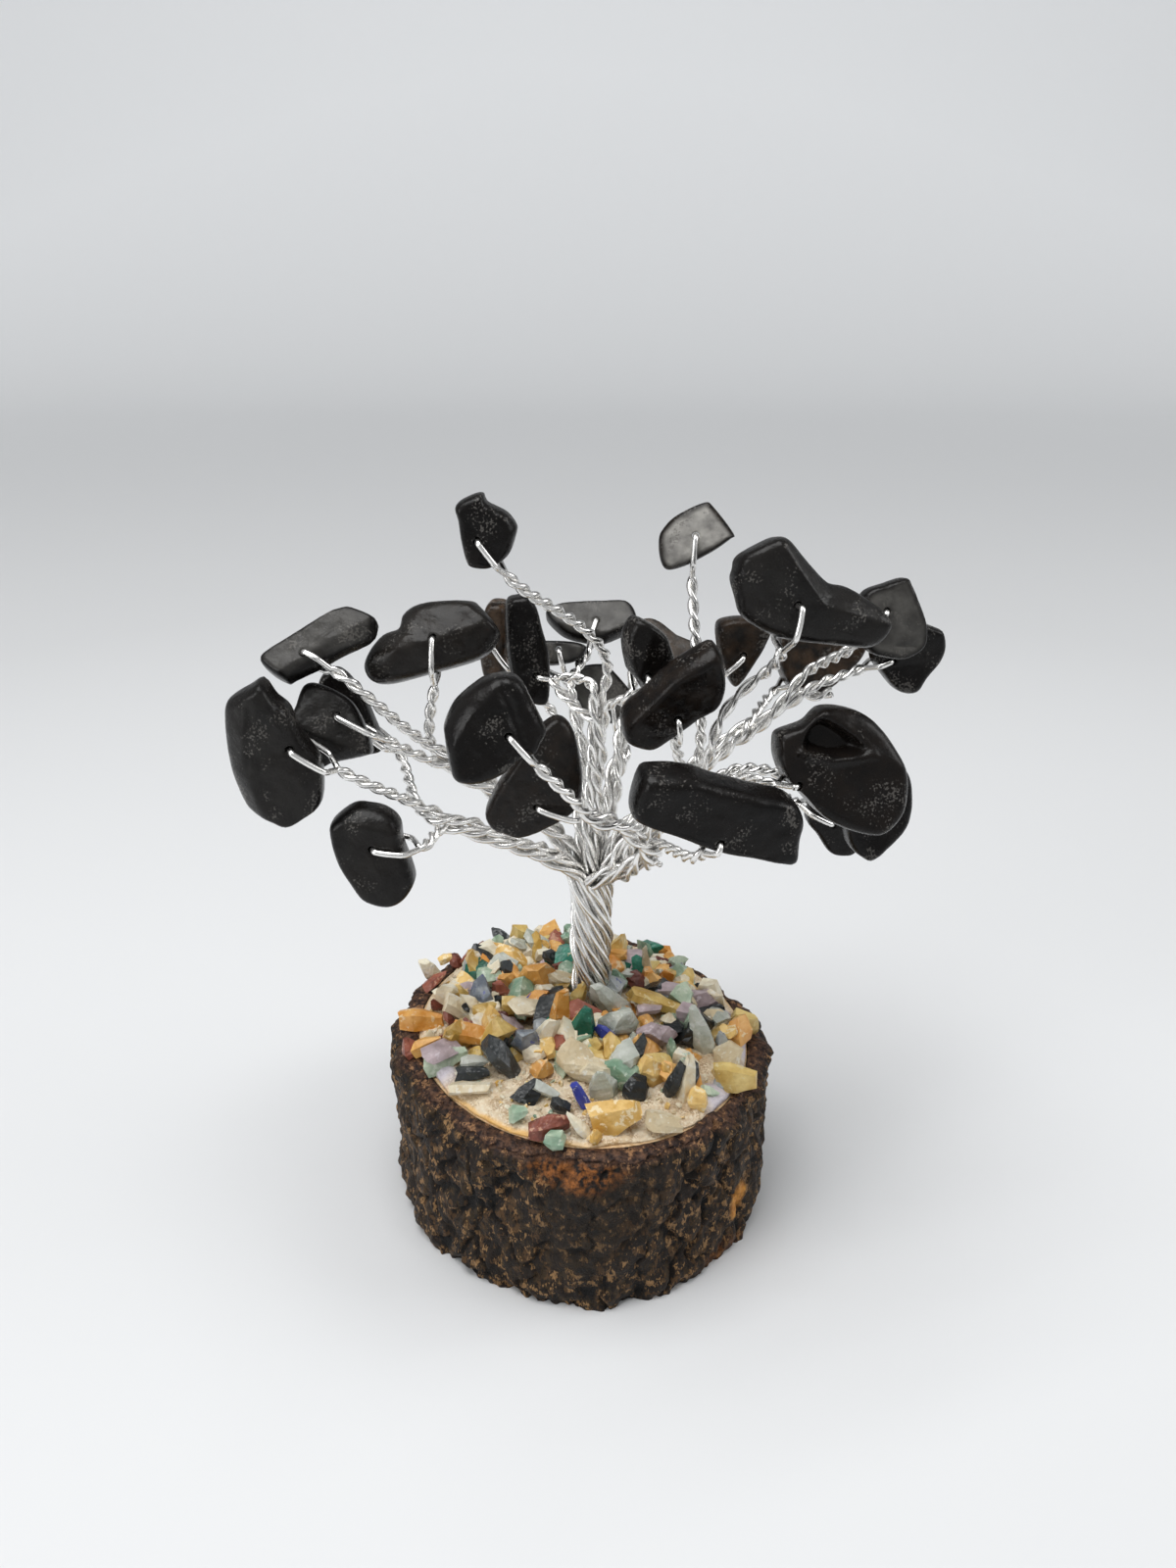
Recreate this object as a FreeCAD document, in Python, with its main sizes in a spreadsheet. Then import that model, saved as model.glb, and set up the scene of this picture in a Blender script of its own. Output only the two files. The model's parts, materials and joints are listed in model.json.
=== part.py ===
import FreeCAD, Part
import Sketcher
import math
import os
from collections import namedtuple

# A small tree of silver wire whose leaves are drilled black stone chips.
# It stands in crushed stone gravel, which is glued on a slice of a branch with its bark on.
# Each leaf stone hangs on one wire, folded through its bore. The two legs are twisted together,
# three such wires make a bough, and nine boughs are twisted together into the trunk.
# The frame: the middle of the slice's underside is the origin, +Z is up and the front is -Y.
# Lengths are in millimetres.

# Driving sizes, kept in the sheet

SIZES = (
    ("slice_length", 51.6, "wood slice across its long way"),
    ("slice_width", 46.4, "wood slice across its short way"),
    ("slice_height", 25.0, "height of the wood slice"),
    ("slice_turn", 120.0, "degrees from +X to the slice's long way"),
    ("socket_depth", 12.0, "depth of the hole drilled for the trunk"),
    ("socket_glue", 0.73, "glue between the trunk and the wall of that hole"),
    ("trunk_right", 1.5, "trunk axis to the right of the slice's middle"),
    ("trunk_back", 2.5, "trunk axis behind the slice's middle"),
    ("bark_thickness", 3.0, "usual thickness of the bark"),
    ("bark_relief", 1.5, "depth of the bark's plates and furrows"),
    ("bark_step", 0.5, "how far the bark's sawn rim rises and falls"),
    ("bark_gap", 0.03, "between the wood and its bark"),
    ("glue_crown", 3.0, "height of the glue bed in the middle"),
    ("glue_margin", 0.4, "wood left bare round the glue bed"),
    ("glue_gap", 0.04, "between glue and what stands in it"),
    ("gravel_length", 4.9, "usual length of a gravel chip"),
    ("gravel_width", 3.6, "usual width of a gravel chip"),
    ("gravel_height", 4.4, "height of the tallest gravel chips"),
    ("gravel_gap", 0.05, "between a gravel chip and the glue"),
    ("gravel_apart", 0.05, "least room between two gravel chips"),
    ("stem_width", 0.72, "one wire's two legs laid together, in a bough"),
    ("stem_gap", 0.02, "between the three stems of a bough"),
    ("trunk_height", 25.0, "top of the wood to where the boughs part"),
    ("trunk_ring", 2.3, "trunk axis to the middle of an outer bough"),
    ("trunk_turn", -170.0, "degrees that the trunk's boughs wind round it, to the left going up"),
    ("wire_width", 0.6, "width of the wire"),
    ("pair_gap", 0.2, "between the legs of a twig where they cross at the corners"),
    ("twist_pitch", 6.5, "one full turn of a twig's two legs"),
    ("crown_radius", 40.0, "trunk axis to the outermost leaves"),
    ("crown_height", 80.0, "top of the wood to the top of the crown"),
    ("leaf_reach", 10.0, "half the length of the largest leaf stone"),
    ("leaf_thickness", 5.0, "usual thickness of a leaf stone"),
    ("bore_gap", 0.07, "between the wire and the bore of a leaf stone"),
    ("neck_gap", 0.5, "between a leaf stone's edge and its wire's neck"),
)

doc = FreeCAD.newDocument("gemstone_tree")
sheet = doc.addObject("Spreadsheet::Sheet", "Sizes")
for row, (alias, value, note) in enumerate(SIZES, start=1):
    sheet.set(f"A{row}", note)
    sheet.set(f"B{row}", str(value))
    sheet.setAlias(f"B{row}", alias)
doc.recompute()


def size(alias):
    """The sheet's value for one named size."""
    return float(sheet.get(alias))


Vector = FreeCAD.Vector
UP = Vector(0, 0, 1)
RIGHT = Vector(1, 0, 0)
MIDDLE = Vector(0, 0, 0)

# Where the trunk's axis leaves the wood, and where the top of the wood is

WOOD_TOP = Vector(0, 0, size("slice_height"))
TRUNK_FOOT = Vector(size("trunk_right"), size("trunk_back"), size("slice_height"))

# Boughs: the slot round the trunk (None is its core), where the bough ends as shares of the
# crown's radius, radius and height from the trunk's foot, the share of its span over which it
# keeps the trunk's direction, and how far it first sways out of that direction, as shares of the
# same three

Bough = namedtuple("Bough", "slot end_shares lead_share sway_shares")

BOUGH_SHARES = {
    "bough_right_high": Bough(0, (0.50, -0.27, 0.73), 0.30, (0.16, 0.00, -0.06)),
    "bough_right": Bough(1, (0.70, 0.00, 0.67), 0.30, (0.00, 0.00, 0.00)),
    "bough_back_right": Bough(2, (0.12, 0.20, 0.54), 0.30, (0.00, 0.00, 0.00)),
    "bough_back": Bough(3, (-0.06, 0.28, 0.58), 0.30, (0.00, 0.00, 0.00)),
    "bough_left_high": Bough(4, (-0.51, -0.18, 0.59), 0.28, (0.00, 0.00, 0.00)),
    "bough_left_low": Bough(5, (-0.52, -0.32, 0.51), 0.15, (0.00, 0.00, 0.00)),
    "bough_front": Bough(6, (0.00, -0.62, 0.59), 0.15, (0.46, -0.24, 0.08)),
    "bough_right_low": Bough(7, (0.42, -0.28, 0.56), 0.20, (0.20, -0.10, 0.14)),
    "bough_centre": Bough(None, (0.03, 0.00, 0.67), 0.35, (0.00, 0.00, 0.00)),
}
TRUNK_SLOTS = 8

# Leaf stones: the bough, and the share of it where the twig parts; the stone's middle as shares
# of the crown, like a bough's end; the way that its face looks (degrees round from +X, degrees
# up); half its length and its thickness as shares of the usual ones; its outline as eight
# reaches, an eighth of a turn apart, as shares of that half length; and its bore's place as
# shares of that half length

Leaf = namedtuple(
    "Leaf",
    "bough fork_share middle_shares facing half_share thick_share outline_shares bore_shares",
)

LEAF_SHARES = (
    Leaf("bough_centre", 1.00, (-0.31, -0.23, 0.95), (-90, 5), 0.45, 0.85,
         (0.80, 0.75, 0.90, 1.00, 0.70, 0.75, 1.00, 0.80), (-0.20, -0.20)),
    Leaf("bough_left_high", 1.00, (-0.83, -0.22, 0.77), (-100, 45), 0.63, 0.60,
         (0.60, 1.00, 0.45, 0.35, 0.55, 0.95, 0.45, 0.40), (-0.20, -0.25)),
    Leaf("bough_left_high", 0.95, (-0.50, -0.10, 0.76), (-90, 25), 0.80, 1.35,
         (1.00, 0.90, 0.60, 0.65, 0.85, 0.90, 0.50, 0.55), (0.05, 0.00)),
    Leaf("bough_left_high", 0.90, (-0.80, -0.27, 0.655), (-90, 20), 0.60, 0.80,
         (0.60, 0.50, 0.70, 1.00, 0.85, 0.80, 0.75, 0.80), (0.12, 0.15)),
    Leaf("bough_left_low", 1.00, (-0.95, -0.45, 0.64), (-85, 0), 0.82, 1.00,
         (0.70, 0.65, 0.95, 0.95, 0.80, 0.95, 1.00, 0.95), (0.30, 0.20)),
    Leaf("bough_left_low", 0.80, (-0.68, -0.46, 0.48), (-90, 5), 0.65, 1.00,
         (0.70, 0.75, 1.00, 0.95, 0.70, 0.65, 0.95, 0.95), (0.10, 0.20)),
    Leaf("bough_left_low", 0.90, (-0.78, -0.03, 0.62), (-90, 5), 0.55, 0.80,
         (0.45, 0.50, 0.85, 1.00, 0.65, 0.70, 0.95, 0.90), (0.05, -0.15)),
    Leaf("bough_front", 1.00, (-0.26, -0.72, 0.74), (-80, 10), 0.66, 1.10,
         (0.85, 0.80, 0.80, 0.70, 0.80, 1.00, 0.75, 0.75), (0.15, -0.05)),
    Leaf("bough_front", 0.70, (-0.17, -0.53, 0.62), (-90, 0), 0.74, 0.90,
         (0.75, 0.80, 0.70, 0.40, 0.50, 1.00, 0.85, 0.80), (0.05, -0.35)),
    Leaf("bough_back", 0.70, (-0.33, 0.25, 0.70), (-100, 0), 0.50, 1.00,
         (0.40, 0.55, 1.00, 0.50, 0.40, 0.50, 0.95, 0.50), (0.05, 0.00)),
    Leaf("bough_centre", 0.95, (-0.21, 0.10, 0.70), (-80, 5), 0.72, 0.80,
         (0.35, 0.45, 1.00, 0.55, 0.40, 0.45, 0.90, 0.55), (0.10, -0.35)),
    Leaf("bough_back", 1.00, (-0.03, 0.55, 0.68), (-90, 50), 0.64, 0.60,
         (1.00, 0.70, 0.50, 0.65, 0.80, 0.50, 0.45, 0.60), (0.30, -0.05)),
    Leaf("bough_back", 0.80, (-0.14, 0.42, 0.65), (-90, 20), 0.45, 0.80,
         (1.00, 0.60, 0.50, 0.60, 0.95, 0.60, 0.45, 0.50), (0.20, 0.05)),
    Leaf("bough_back_right", 1.00, (0.28, 0.53, 0.66), (-80, 50), 0.62, 0.60,
         (0.90, 0.40, 0.35, 0.75, 0.90, 0.55, 0.50, 0.80), (-0.45, 0.10)),
    Leaf("bough_centre", 0.85, (0.17, -0.10, 0.727), (-70, 0), 0.56, 0.90,
         (0.50, 0.50, 0.75, 0.90, 0.60, 0.60, 1.00, 0.75), (-0.10, -0.25)),
    Leaf("bough_back_right", 0.75, (0.05, 0.49, 0.55), (-90, 25), 0.49, 0.60,
         (0.85, 0.60, 0.85, 1.00, 0.95, 0.95, 0.75, 0.95), (0.20, -0.20)),
    Leaf("bough_right_high", 0.50, (0.25, -0.28, 0.69), (-80, -12), 0.78, 1.00,
         (0.70, 1.00, 0.45, 0.35, 0.50, 0.95, 0.50, 0.45), (0.00, -0.10)),
    Leaf("bough_right_high", 0.40, (0.33, 0.10, 0.90), (-95, 15), 0.51, 0.60,
         (0.85, 0.70, 0.80, 0.75, 0.90, 1.00, 0.60, 0.55), (0.00, 0.00)),
    Leaf("bough_right_high", 1.00, (0.63, -0.28, 0.86), (-75, 15), 0.99, 1.20,
         (0.55, 0.35, 0.40, 0.90, 0.85, 0.60, 0.60, 1.00), (-0.20, -0.10)),
    Leaf("bough_right", 1.00, (0.93, -0.07, 0.79), (-80, 12), 0.57, 0.60,
         (0.70, 0.75, 0.75, 0.75, 0.75, 0.80, 0.80, 1.00), (-0.15, 0.20)),
    Leaf("bough_right", 0.95, (1.02, 0.07, 0.70), (-85, 10), 0.52, 0.80,
         (0.90, 1.00, 0.85, 0.95, 0.90, 0.75, 0.90, 0.70), (-0.35, 0.00)),
    Leaf("bough_back_right", 0.95, (0.51, 0.12, 0.70), (-85, 5), 0.52, 0.80,
         (0.45, 0.95, 0.90, 1.00, 0.55, 0.60, 0.65, 0.45), (-0.10, 0.00)),
    Leaf("bough_right", 0.70, (0.76, 0.25, 0.66), (-80, 10), 0.72, 0.80,
         (0.85, 0.70, 0.70, 1.00, 0.85, 0.80, 0.70, 0.60), (-0.40, -0.30)),
    Leaf("bough_front", 0.30, (0.37, -0.60, 0.57), (-80, -3), 0.98, 1.10,
         (1.00, 0.50, 0.50, 0.80, 0.80, 0.45, 0.40, 0.75), (-0.05, -0.15)),
    Leaf("bough_right_low", 1.00, (0.70, -0.40, 0.60), (-85, 15), 0.90, 1.20,
         (0.90, 0.80, 0.85, 0.90, 0.85, 0.65, 0.75, 1.00), (-0.42, -0.10)),
    Leaf("bough_right_low", 0.95, (0.92, -0.15, 0.49), (-85, 10), 0.76, 1.00,
         (0.55, 0.65, 1.00, 0.65, 0.55, 0.75, 0.95, 0.60), (-0.20, 0.05)),
    Leaf("bough_right_low", 0.85, (0.84, 0.05, 0.41), (-85, 0), 0.52, 0.80,
         (0.80, 0.70, 1.00, 0.75, 0.80, 0.65, 0.95, 0.95), (-0.10, 0.00)),
)

# How far a leaf stone turns on its wire each way, in degrees; the wire's neck is kept clear of
# the stone for this many times that swing, tried at so many places each way

LEAF_SWING = 10.0
SWING_MARGIN = 2.0
SWING_TRIES = 4

# A leaf stone's layers, back to front: height as a share of its thickness from the middle, and
# its outline there as a share of the full one

STONE_LAYER_SHARES = ((-0.50, 0.74), (-0.20, 0.96), (0.12, 1.00), (0.50, 0.72))

# Cut wire ends that were left sticking out: bough, the share of it where the end leaves, its
# direction (degrees round from +X, degrees up) and its length as a share of the crown's radius

CutEnd = namedtuple("CutEnd", "bough fork_share direction length_share")

CUT_END_SHARES = (
    CutEnd("bough_left_high", 0.90, (20, 40), 0.07),
    CutEnd("bough_centre", 0.80, (165, 35), 0.22),
    CutEnd("bough_right", 0.95, (0, -12), 0.12),
    CutEnd("bough_right_high", 0.50, (-140, 60), 0.10),
    CutEnd("bough_front", 0.25, (-35, -10), 0.05),
)

# A cut end runs straight for a share of its length, then curls up by a share of a straight turn

CUT_STRAIGHT_SHARE = 0.6
CUT_CURL_SHARE = 0.5

# Counts: sections along the trunk, along a bough and in one turn of a twig, the sides of a wire
# and the stems of a bough; a bough's stems wind by so many degrees from one section to the next

TRUNK_STEPS = 5
BOUGH_STEPS = 8
TWIST_STEPS = 5
WIRE_SIDES = 4
STEMS = 3
LAY_TURN = 50.0

# The loop through a leaf stone, as multiples of the wire's radius: its legs' height over the
# stone's faces, where it starts to bend into the bore, and its height where it enters the bore

LEG_LIFT_SHARE = 1.5
HOOK_REACH_SHARE = 1.7
HOOK_DIP_SHARE = 0.5

# How far a twig runs straight on from the stone and from its bough, as shares of its span

NECK_LEAD_SHARE = 0.20
FORK_LEAD_SHARE = 0.35

# The glue bed: its layers, as shares of the slice's outline and of the crown's height

GLUE_SIDES = 24
GLUE_LAYER_SHARES = ((1.00, 0.0), (1.00, 0.18), (0.97, 0.28), (0.70, 0.68), (0.35, 1.00))

# The gravel: the height of the chips at the rim as a share of the tallest, and each chip's least
# and greatest shares: its height, the reach of its foot's corners, and its top's reach as a share
# of its foot's. Its corners stray by a share of the angle between them, its top is shifted by a
# share of its half width, and the top's slope is a share of a straight one.

RIM_HEIGHT_SHARE = 0.50
CHIP_CORNERS = 5
CHIP_HEIGHT_SHARES = (0.55, 1.00)
CHIP_FOOT_SHARES = (0.82, 1.00)
CHIP_TOP_SHARES = (0.50, 0.86)
CHIP_STRAY_SHARE = 0.28
CHIP_LEAN_SHARE = 0.14
CHIP_SLOPE_SHARE = 0.50
GRAVEL_KINDS = (
    "gravel_clear_quartz",
    "gravel_citrine",
    "gravel_malachite",
    "gravel_milky_quartz",
    "gravel_orange_calcite",
    "gravel_lapis",
    "gravel_aventurine",
    "gravel_red_jasper",
    "gravel_tourmaline",
    "gravel_yellow_jasper",
    "gravel_rose_quartz",
    "gravel_sodalite",
)

# The bark: its thickness round the slice, twelve shares a twelfth of a turn apart from +X, and
# its columns of ridges

BARK_THICKNESS_SHARES = (1.1, 0.6, 0.5, 1.1, 1.4, 1.1, 1.2, 1.1, 0.9, 1.05, 0.7, 0.85)
BARK_COLUMNS = 60

# The bark's layers from the foot up: height as a share of the slice's, and the share of its
# thickness there, fuller in the lip at the foot and drawn in at the sawn rim

BARK_LAYER_SHARES = (
    (0.00, 0.90),
    (0.09, 1.08),
    (0.25, 0.98),
    (0.44, 0.98),
    (0.63, 1.00),
    (0.82, 1.02),
    (0.94, 0.96),
    (1.00, 0.70),
)

# The bark's relief: how far its plates, its grain and its furrows stand out or in, as shares of
# it, how many columns and layers a plate takes, and how rare the furrows are, from -1 to 1

PLATE_SHARE = 0.38
GRAIN_SHARE = 0.12
FURROW_SHARE = -0.62
PLATE_COLUMNS = 3
PLATE_LAYERS = 2
FURROW_RARENESS = -0.35

# The two parts of a turn that spread counted things evenly but without an order

GOLDEN_SHARE = 0.618034
SQUARE_SHARE = 0.31


def wobble(*counters):
    """An even but unordered spread from -1 to 1, the same each time for the same counters."""
    total = 0.0
    for place, counter in enumerate(counters, start=1):
        total += place * counter * (GOLDEN_SHARE + SQUARE_SHARE * counter)
    return 2.0 * (total % 1.0) - 1.0


def varied(shares, *counters):
    """A share between the least and the greatest, spread like a wobble."""
    least, greatest = shares
    return least + (greatest - least) * (wobble(*counters) + 1.0) / 2.0


def unit(vector):
    """The vector's direction."""
    return Vector(vector) * (1.0 / vector.Length)


def heading(round_degrees, up_degrees):
    """The direction that is so many degrees round from +X and so many up."""
    level = math.cos(math.radians(up_degrees))
    turn = math.radians(round_degrees)
    return Vector(level * math.cos(turn), level * math.sin(turn), math.sin(math.radians(up_degrees)))


def facet(corners):
    """A flat face with these corners."""
    return Part.Face(Part.makePolygon(list(corners) + [corners[0]]))


def closed_solid(faces):
    """The solid that these faces enclose."""
    shell = Part.Shell(faces)
    shell.sewShape()
    solid = Part.Solid(shell)
    if solid.Volume < 0:
        solid.reverse()
    return solid


def ring_walls(lower, upper, flat):
    """Walls between two rings of as many corners: four-sided where they are flat, or triangles."""
    faces = []
    for i in range(len(lower)):
        k = (i + 1) % len(lower)
        if flat:
            faces.append(facet([lower[i], lower[k], upper[k], upper[i]]))
        else:
            faces.append(facet([lower[i], lower[k], upper[k]]))
            faces.append(facet([lower[i], upper[k], upper[i]]))
    return faces


def ring_solid(rings, flat=True):
    """A closed solid through rings of corners, with a flat face on the first and last ring."""
    faces = [facet(rings[0]), facet(rings[-1])]
    for lower, upper in zip(rings, rings[1:]):
        faces += ring_walls(lower, upper, flat)
    return closed_solid(faces)


def carried_frames(points):
    """For each point of a path: its direction, and a side that turns no more than the path does."""
    steps = [unit(b - a) for a, b in zip(points, points[1:])]
    along = [steps[0]] + [unit(a + b) for a, b in zip(steps, steps[1:])] + [steps[-1]]
    start = RIGHT if abs(along[0].dot(RIGHT)) < 0.9 else UP
    side = unit(start - along[0] * start.dot(along[0]))
    frames = []
    for direction in along:
        side = unit(side - direction * side.dot(direction))
        frames.append((direction, side))
    return frames


def wire_solid(points, radius):
    """A wire along a path: straight runs with mitred joints, so that every face is flat."""
    steps = [unit(b - a) for a, b in zip(points, points[1:])]
    first = steps[0]
    start = UP if abs(first.dot(UP)) < 0.9 else RIGHT
    side = unit(start - first * start.dot(first))
    across = first.cross(side)
    ring = []
    for i in range(WIRE_SIDES):
        turn = 2 * math.pi * (i + 0.5) / WIRE_SIDES
        ring.append(points[0] + side * (radius * math.cos(turn)) + across * (radius * math.sin(turn)))
    rings = [ring]
    for i, step in enumerate(steps):
        onward = steps[i + 1] if i + 1 < len(steps) else step
        normal = unit(step + onward)
        end = points[i + 1]
        ring = [p + step * ((end - p).dot(normal) / step.dot(normal)) for p in ring]
        rings.append(ring)
    return ring_solid(rings)


def bezier(start, lead, arrive, end, share):
    """The point at a share of the way along a cubic curve."""
    rest = 1 - share
    return (
        start * rest**3
        + lead * (3 * rest * rest * share)
        + arrive * (3 * rest * share * share)
        + end * share**3
    )


def winding(middle_path, reach, turns_degrees, start_degrees, first_side=None):
    """A path that winds round another at a set distance, by a set angle at each of its points."""
    frames = carried_frames(middle_path)
    if first_side is not None:
        side = first_side
        turned = []
        for direction, _ in frames:
            side = unit(side - direction * side.dot(direction))
            turned.append((direction, side))
        frames = turned
    path = []
    for i, (direction, side) in enumerate(frames):
        turn = math.radians(start_degrees + turns_degrees[i])
        across = direction.cross(side)
        path.append(middle_path[i] + side * (reach * math.cos(turn)) + across * (reach * math.sin(turn)))
    return path


# Boughs, from the socket's floor through the trunk to where they fork


def crown_place(shares):
    """A place in the crown, from the trunk's foot."""
    right, back, up = shares
    radius = size("crown_radius")
    return Vector(right * radius, back * radius, up * size("crown_height"))


def bough_middle(name):
    """The middle line of a bough: down the socket, wound up the trunk, then out to its end."""
    bough = BOUGH_SHARES[name]
    ring = 0.0 if bough.slot is None else size("trunk_ring")
    slot_angle = 0.0 if bough.slot is None else 2 * math.pi * bough.slot / TRUNK_SLOTS
    turn = math.radians(size("trunk_turn"))
    foot = size("glue_crown")
    top = size("trunk_height")

    def on_ring(share):
        angle = slot_angle - turn * (1 - share)
        return Vector(ring * math.cos(angle), ring * math.sin(angle), foot + (top - foot) * share)

    foot_place = on_ring(0.0)
    floor = Vector(foot_place.x, foot_place.y, size("glue_gap") - size("socket_depth"))
    points = [floor]
    for i in range(TRUNK_STEPS + 1):
        points.append(on_ring(i / TRUNK_STEPS))
    start = points[-1]
    leaving = unit(Vector(-start.y * turn, start.x * turn, top - foot))
    end = crown_place(bough.end_shares)
    reach = (end - start).Length * bough.lead_share
    lead = start + leaving * reach + crown_place(bough.sway_shares)
    arrive = end - unit(end - start) * reach
    for i in range(1, BOUGH_STEPS + 1):
        points.append(bezier(start, lead, arrive, end, i / BOUGH_STEPS))
    return points


def stem_path(name, stem):
    """One of the three stems of a bough, wound round its middle line."""
    middle = bough_middle(name)
    turns = [0.0] + [LAY_TURN * i for i in range(len(middle) - 1)]
    return winding(middle, stem_ring(), turns, 360.0 * stem / STEMS)


def stem_ring():
    """From a bough's middle line to the middle of each of its stems, which lie side by side."""
    return (size("stem_width") + size("stem_gap")) / (2 * math.sin(math.pi / STEMS))


def stems_reach():
    """How far a bough's stems reach from its middle line."""
    return stem_ring() + size("stem_width") / 2


def fork_step(share):
    """The number of the path's point where a twig or cut end leaves a bough."""
    return 1 + TRUNK_STEPS + round(share * BOUGH_STEPS)


# Leaf stones: each is made about its bore, with its face looking along its own +Z


def leaf_half(leaf):
    """Half the stone's length."""
    return leaf.half_share * size("leaf_reach")


def leaf_thickness(leaf):
    """The stone's thickness."""
    return leaf.thick_share * size("leaf_thickness")


def stone_ring(leaf, layer):
    """One layer's outline, as corners in the stone's own frame."""
    half = leaf_half(leaf)
    height_share, outline_share = layer
    bore_right, bore_up = leaf.bore_shares
    corners = []
    for i, share in enumerate(leaf.outline_shares):
        turn = 2 * math.pi * i / len(leaf.outline_shares)
        corners.append(
            Vector(
                half * (share * outline_share * math.cos(turn) - bore_right),
                half * (share * outline_share * math.sin(turn) - bore_up),
                leaf_thickness(leaf) * height_share,
            )
        )
    return corners


def stone_turn(leaf):
    """The stone's own right, up and facing directions in the crown."""
    facing = heading(*leaf.facing)
    right = unit(UP.cross(facing))
    return right, facing.cross(right), facing


def bore_place(leaf):
    """The middle of the stone's bore, from the trunk's foot."""
    right, up, _ = stone_turn(leaf)
    bore_right, bore_up = leaf.bore_shares
    return crown_place(leaf.middle_shares) + (right * bore_right + up * bore_up) * leaf_half(leaf)


def ring_reach(corners, bearing):
    """How far a layer's outline is from the bore in one direction of its plane."""
    far = 0.0
    away = Vector(math.cos(bearing), math.sin(bearing), 0)
    for a, b in zip(corners, corners[1:] + corners[:1]):
        edge = b - a
        across = away.x * edge.y - away.y * edge.x
        if across == 0:
            continue
        distance = (a.x * edge.y - a.y * edge.x) / across
        share = (a.x * away.y - a.y * away.x) / across
        if 0 <= share <= 1:
            far = max(far, distance)
    return far


def swung_reach(corners, bearing):
    """The furthest that the outline comes in that direction while the stone turns on its wire."""
    swing = math.radians(LEAF_SWING * SWING_MARGIN)
    tries = range(-SWING_TRIES, SWING_TRIES + 1)
    return max(ring_reach(corners, bearing + swing * k / SWING_TRIES) for k in tries)


def stone_solid(leaf):
    """The tumbled stone, before its bore is drilled."""
    return ring_solid([stone_ring(leaf, layer) for layer in STONE_LAYER_SHARES])


def twig_path(leaf, stems):
    """The wire of one leaf: up one leg, through the bore, and back down the other."""
    stem = [other for other in LEAF_SHARES if other.bough == leaf.bough].index(leaf)
    path = stems[leaf.bough][stem]
    step = fork_step(leaf.fork_share)
    fork = path[step]
    onward = unit(path[step] - path[step - 1])
    right, up, facing = stone_turn(leaf)
    bore = bore_place(leaf)
    to_fork = fork - bore
    flat = unit(to_fork - facing * to_fork.dot(facing))
    bearing = math.atan2(flat.dot(up), flat.dot(right))
    wire = size("wire_width") / 2
    apart = wire + size("pair_gap") / 2
    half_thick = leaf_thickness(leaf) / 2
    faces = [stone_ring(leaf, STONE_LAYER_SHARES[0]), stone_ring(leaf, STONE_LAYER_SHARES[-1])]
    waists = [stone_ring(leaf, layer) for layer in STONE_LAYER_SHARES[1:-1]]
    face_reach = max(swung_reach(ring, bearing) for ring in faces) + 2 * wire
    neck_reach = max(swung_reach(ring, bearing) for ring in waists) + wire + size("neck_gap")
    lift = half_thick + LEG_LIFT_SHARE * wire
    neck = bore + flat * neck_reach
    span = (fork - neck).Length
    lead = neck + flat * (span * NECK_LEAD_SHARE)
    arrive = fork + onward * (span * FORK_LEAD_SHARE)
    steps = max(TWIST_STEPS, round(span * TWIST_STEPS / size("twist_pitch")))
    middle = [bezier(neck, lead, arrive, fork, i / steps) for i in range(steps + 1)]
    turns = [360.0 * i / TWIST_STEPS for i in range(steps + 1)]
    near = winding(middle, apart, turns, 0.0, facing)
    far = winding(middle, apart, turns, 180.0, facing)
    hook = [
        (face_reach, lift),
        (HOOK_REACH_SHARE * wire, lift),
        (0.0, half_thick + HOOK_DIP_SHARE * wire),
    ]
    front = [bore + flat * out + facing * over for out, over in hook]
    back = [bore + flat * out - facing * over for out, over in reversed(hook)]
    return list(reversed(near)) + front + back + far


def cut_end_path(cut_end):
    """A wire end that was cut and left sticking out of a bough."""
    start = bough_middle(cut_end.bough)[fork_step(cut_end.fork_share)]
    length = cut_end.length_share * size("crown_radius")
    away = heading(*cut_end.direction)
    bend = start + away * (length * CUT_STRAIGHT_SHARE)
    curl = unit(away + UP * CUT_CURL_SHARE)
    return [start, bend, bend + curl * (length * (1 - CUT_STRAIGHT_SHARE))]


# The slice: wood, bark and glue bed


def slice_rim(share, angle):
    """A point of the slice's oval outline, or of a smaller one like it, at one angle of the oval."""
    turn = math.radians(size("slice_turn"))
    along = size("slice_length") / 2 * share * math.cos(angle)
    across = size("slice_width") / 2 * share * math.sin(angle)
    return Vector(
        along * math.cos(turn) - across * math.sin(turn),
        along * math.sin(turn) + across * math.cos(turn),
        0,
    )


def slice_waist():
    """Half of the slice's short way, whichever of its two sizes that is."""
    return min(size("slice_length"), size("slice_width")) / 2


def socket_radius():
    """The hole for the trunk: the trunk itself, the glue round it and their gaps."""
    return size("trunk_ring") + stems_reach() + size("socket_glue") + 2 * size("glue_gap")


SOCKET_RADIUS_BOUND = (
    f"Sizes.trunk_ring + (Sizes.stem_width + Sizes.stem_gap) / (2 * sin(180 deg / {STEMS}))"
    " + Sizes.stem_width / 2 + Sizes.socket_glue + 2 * Sizes.glue_gap"
)


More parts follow.
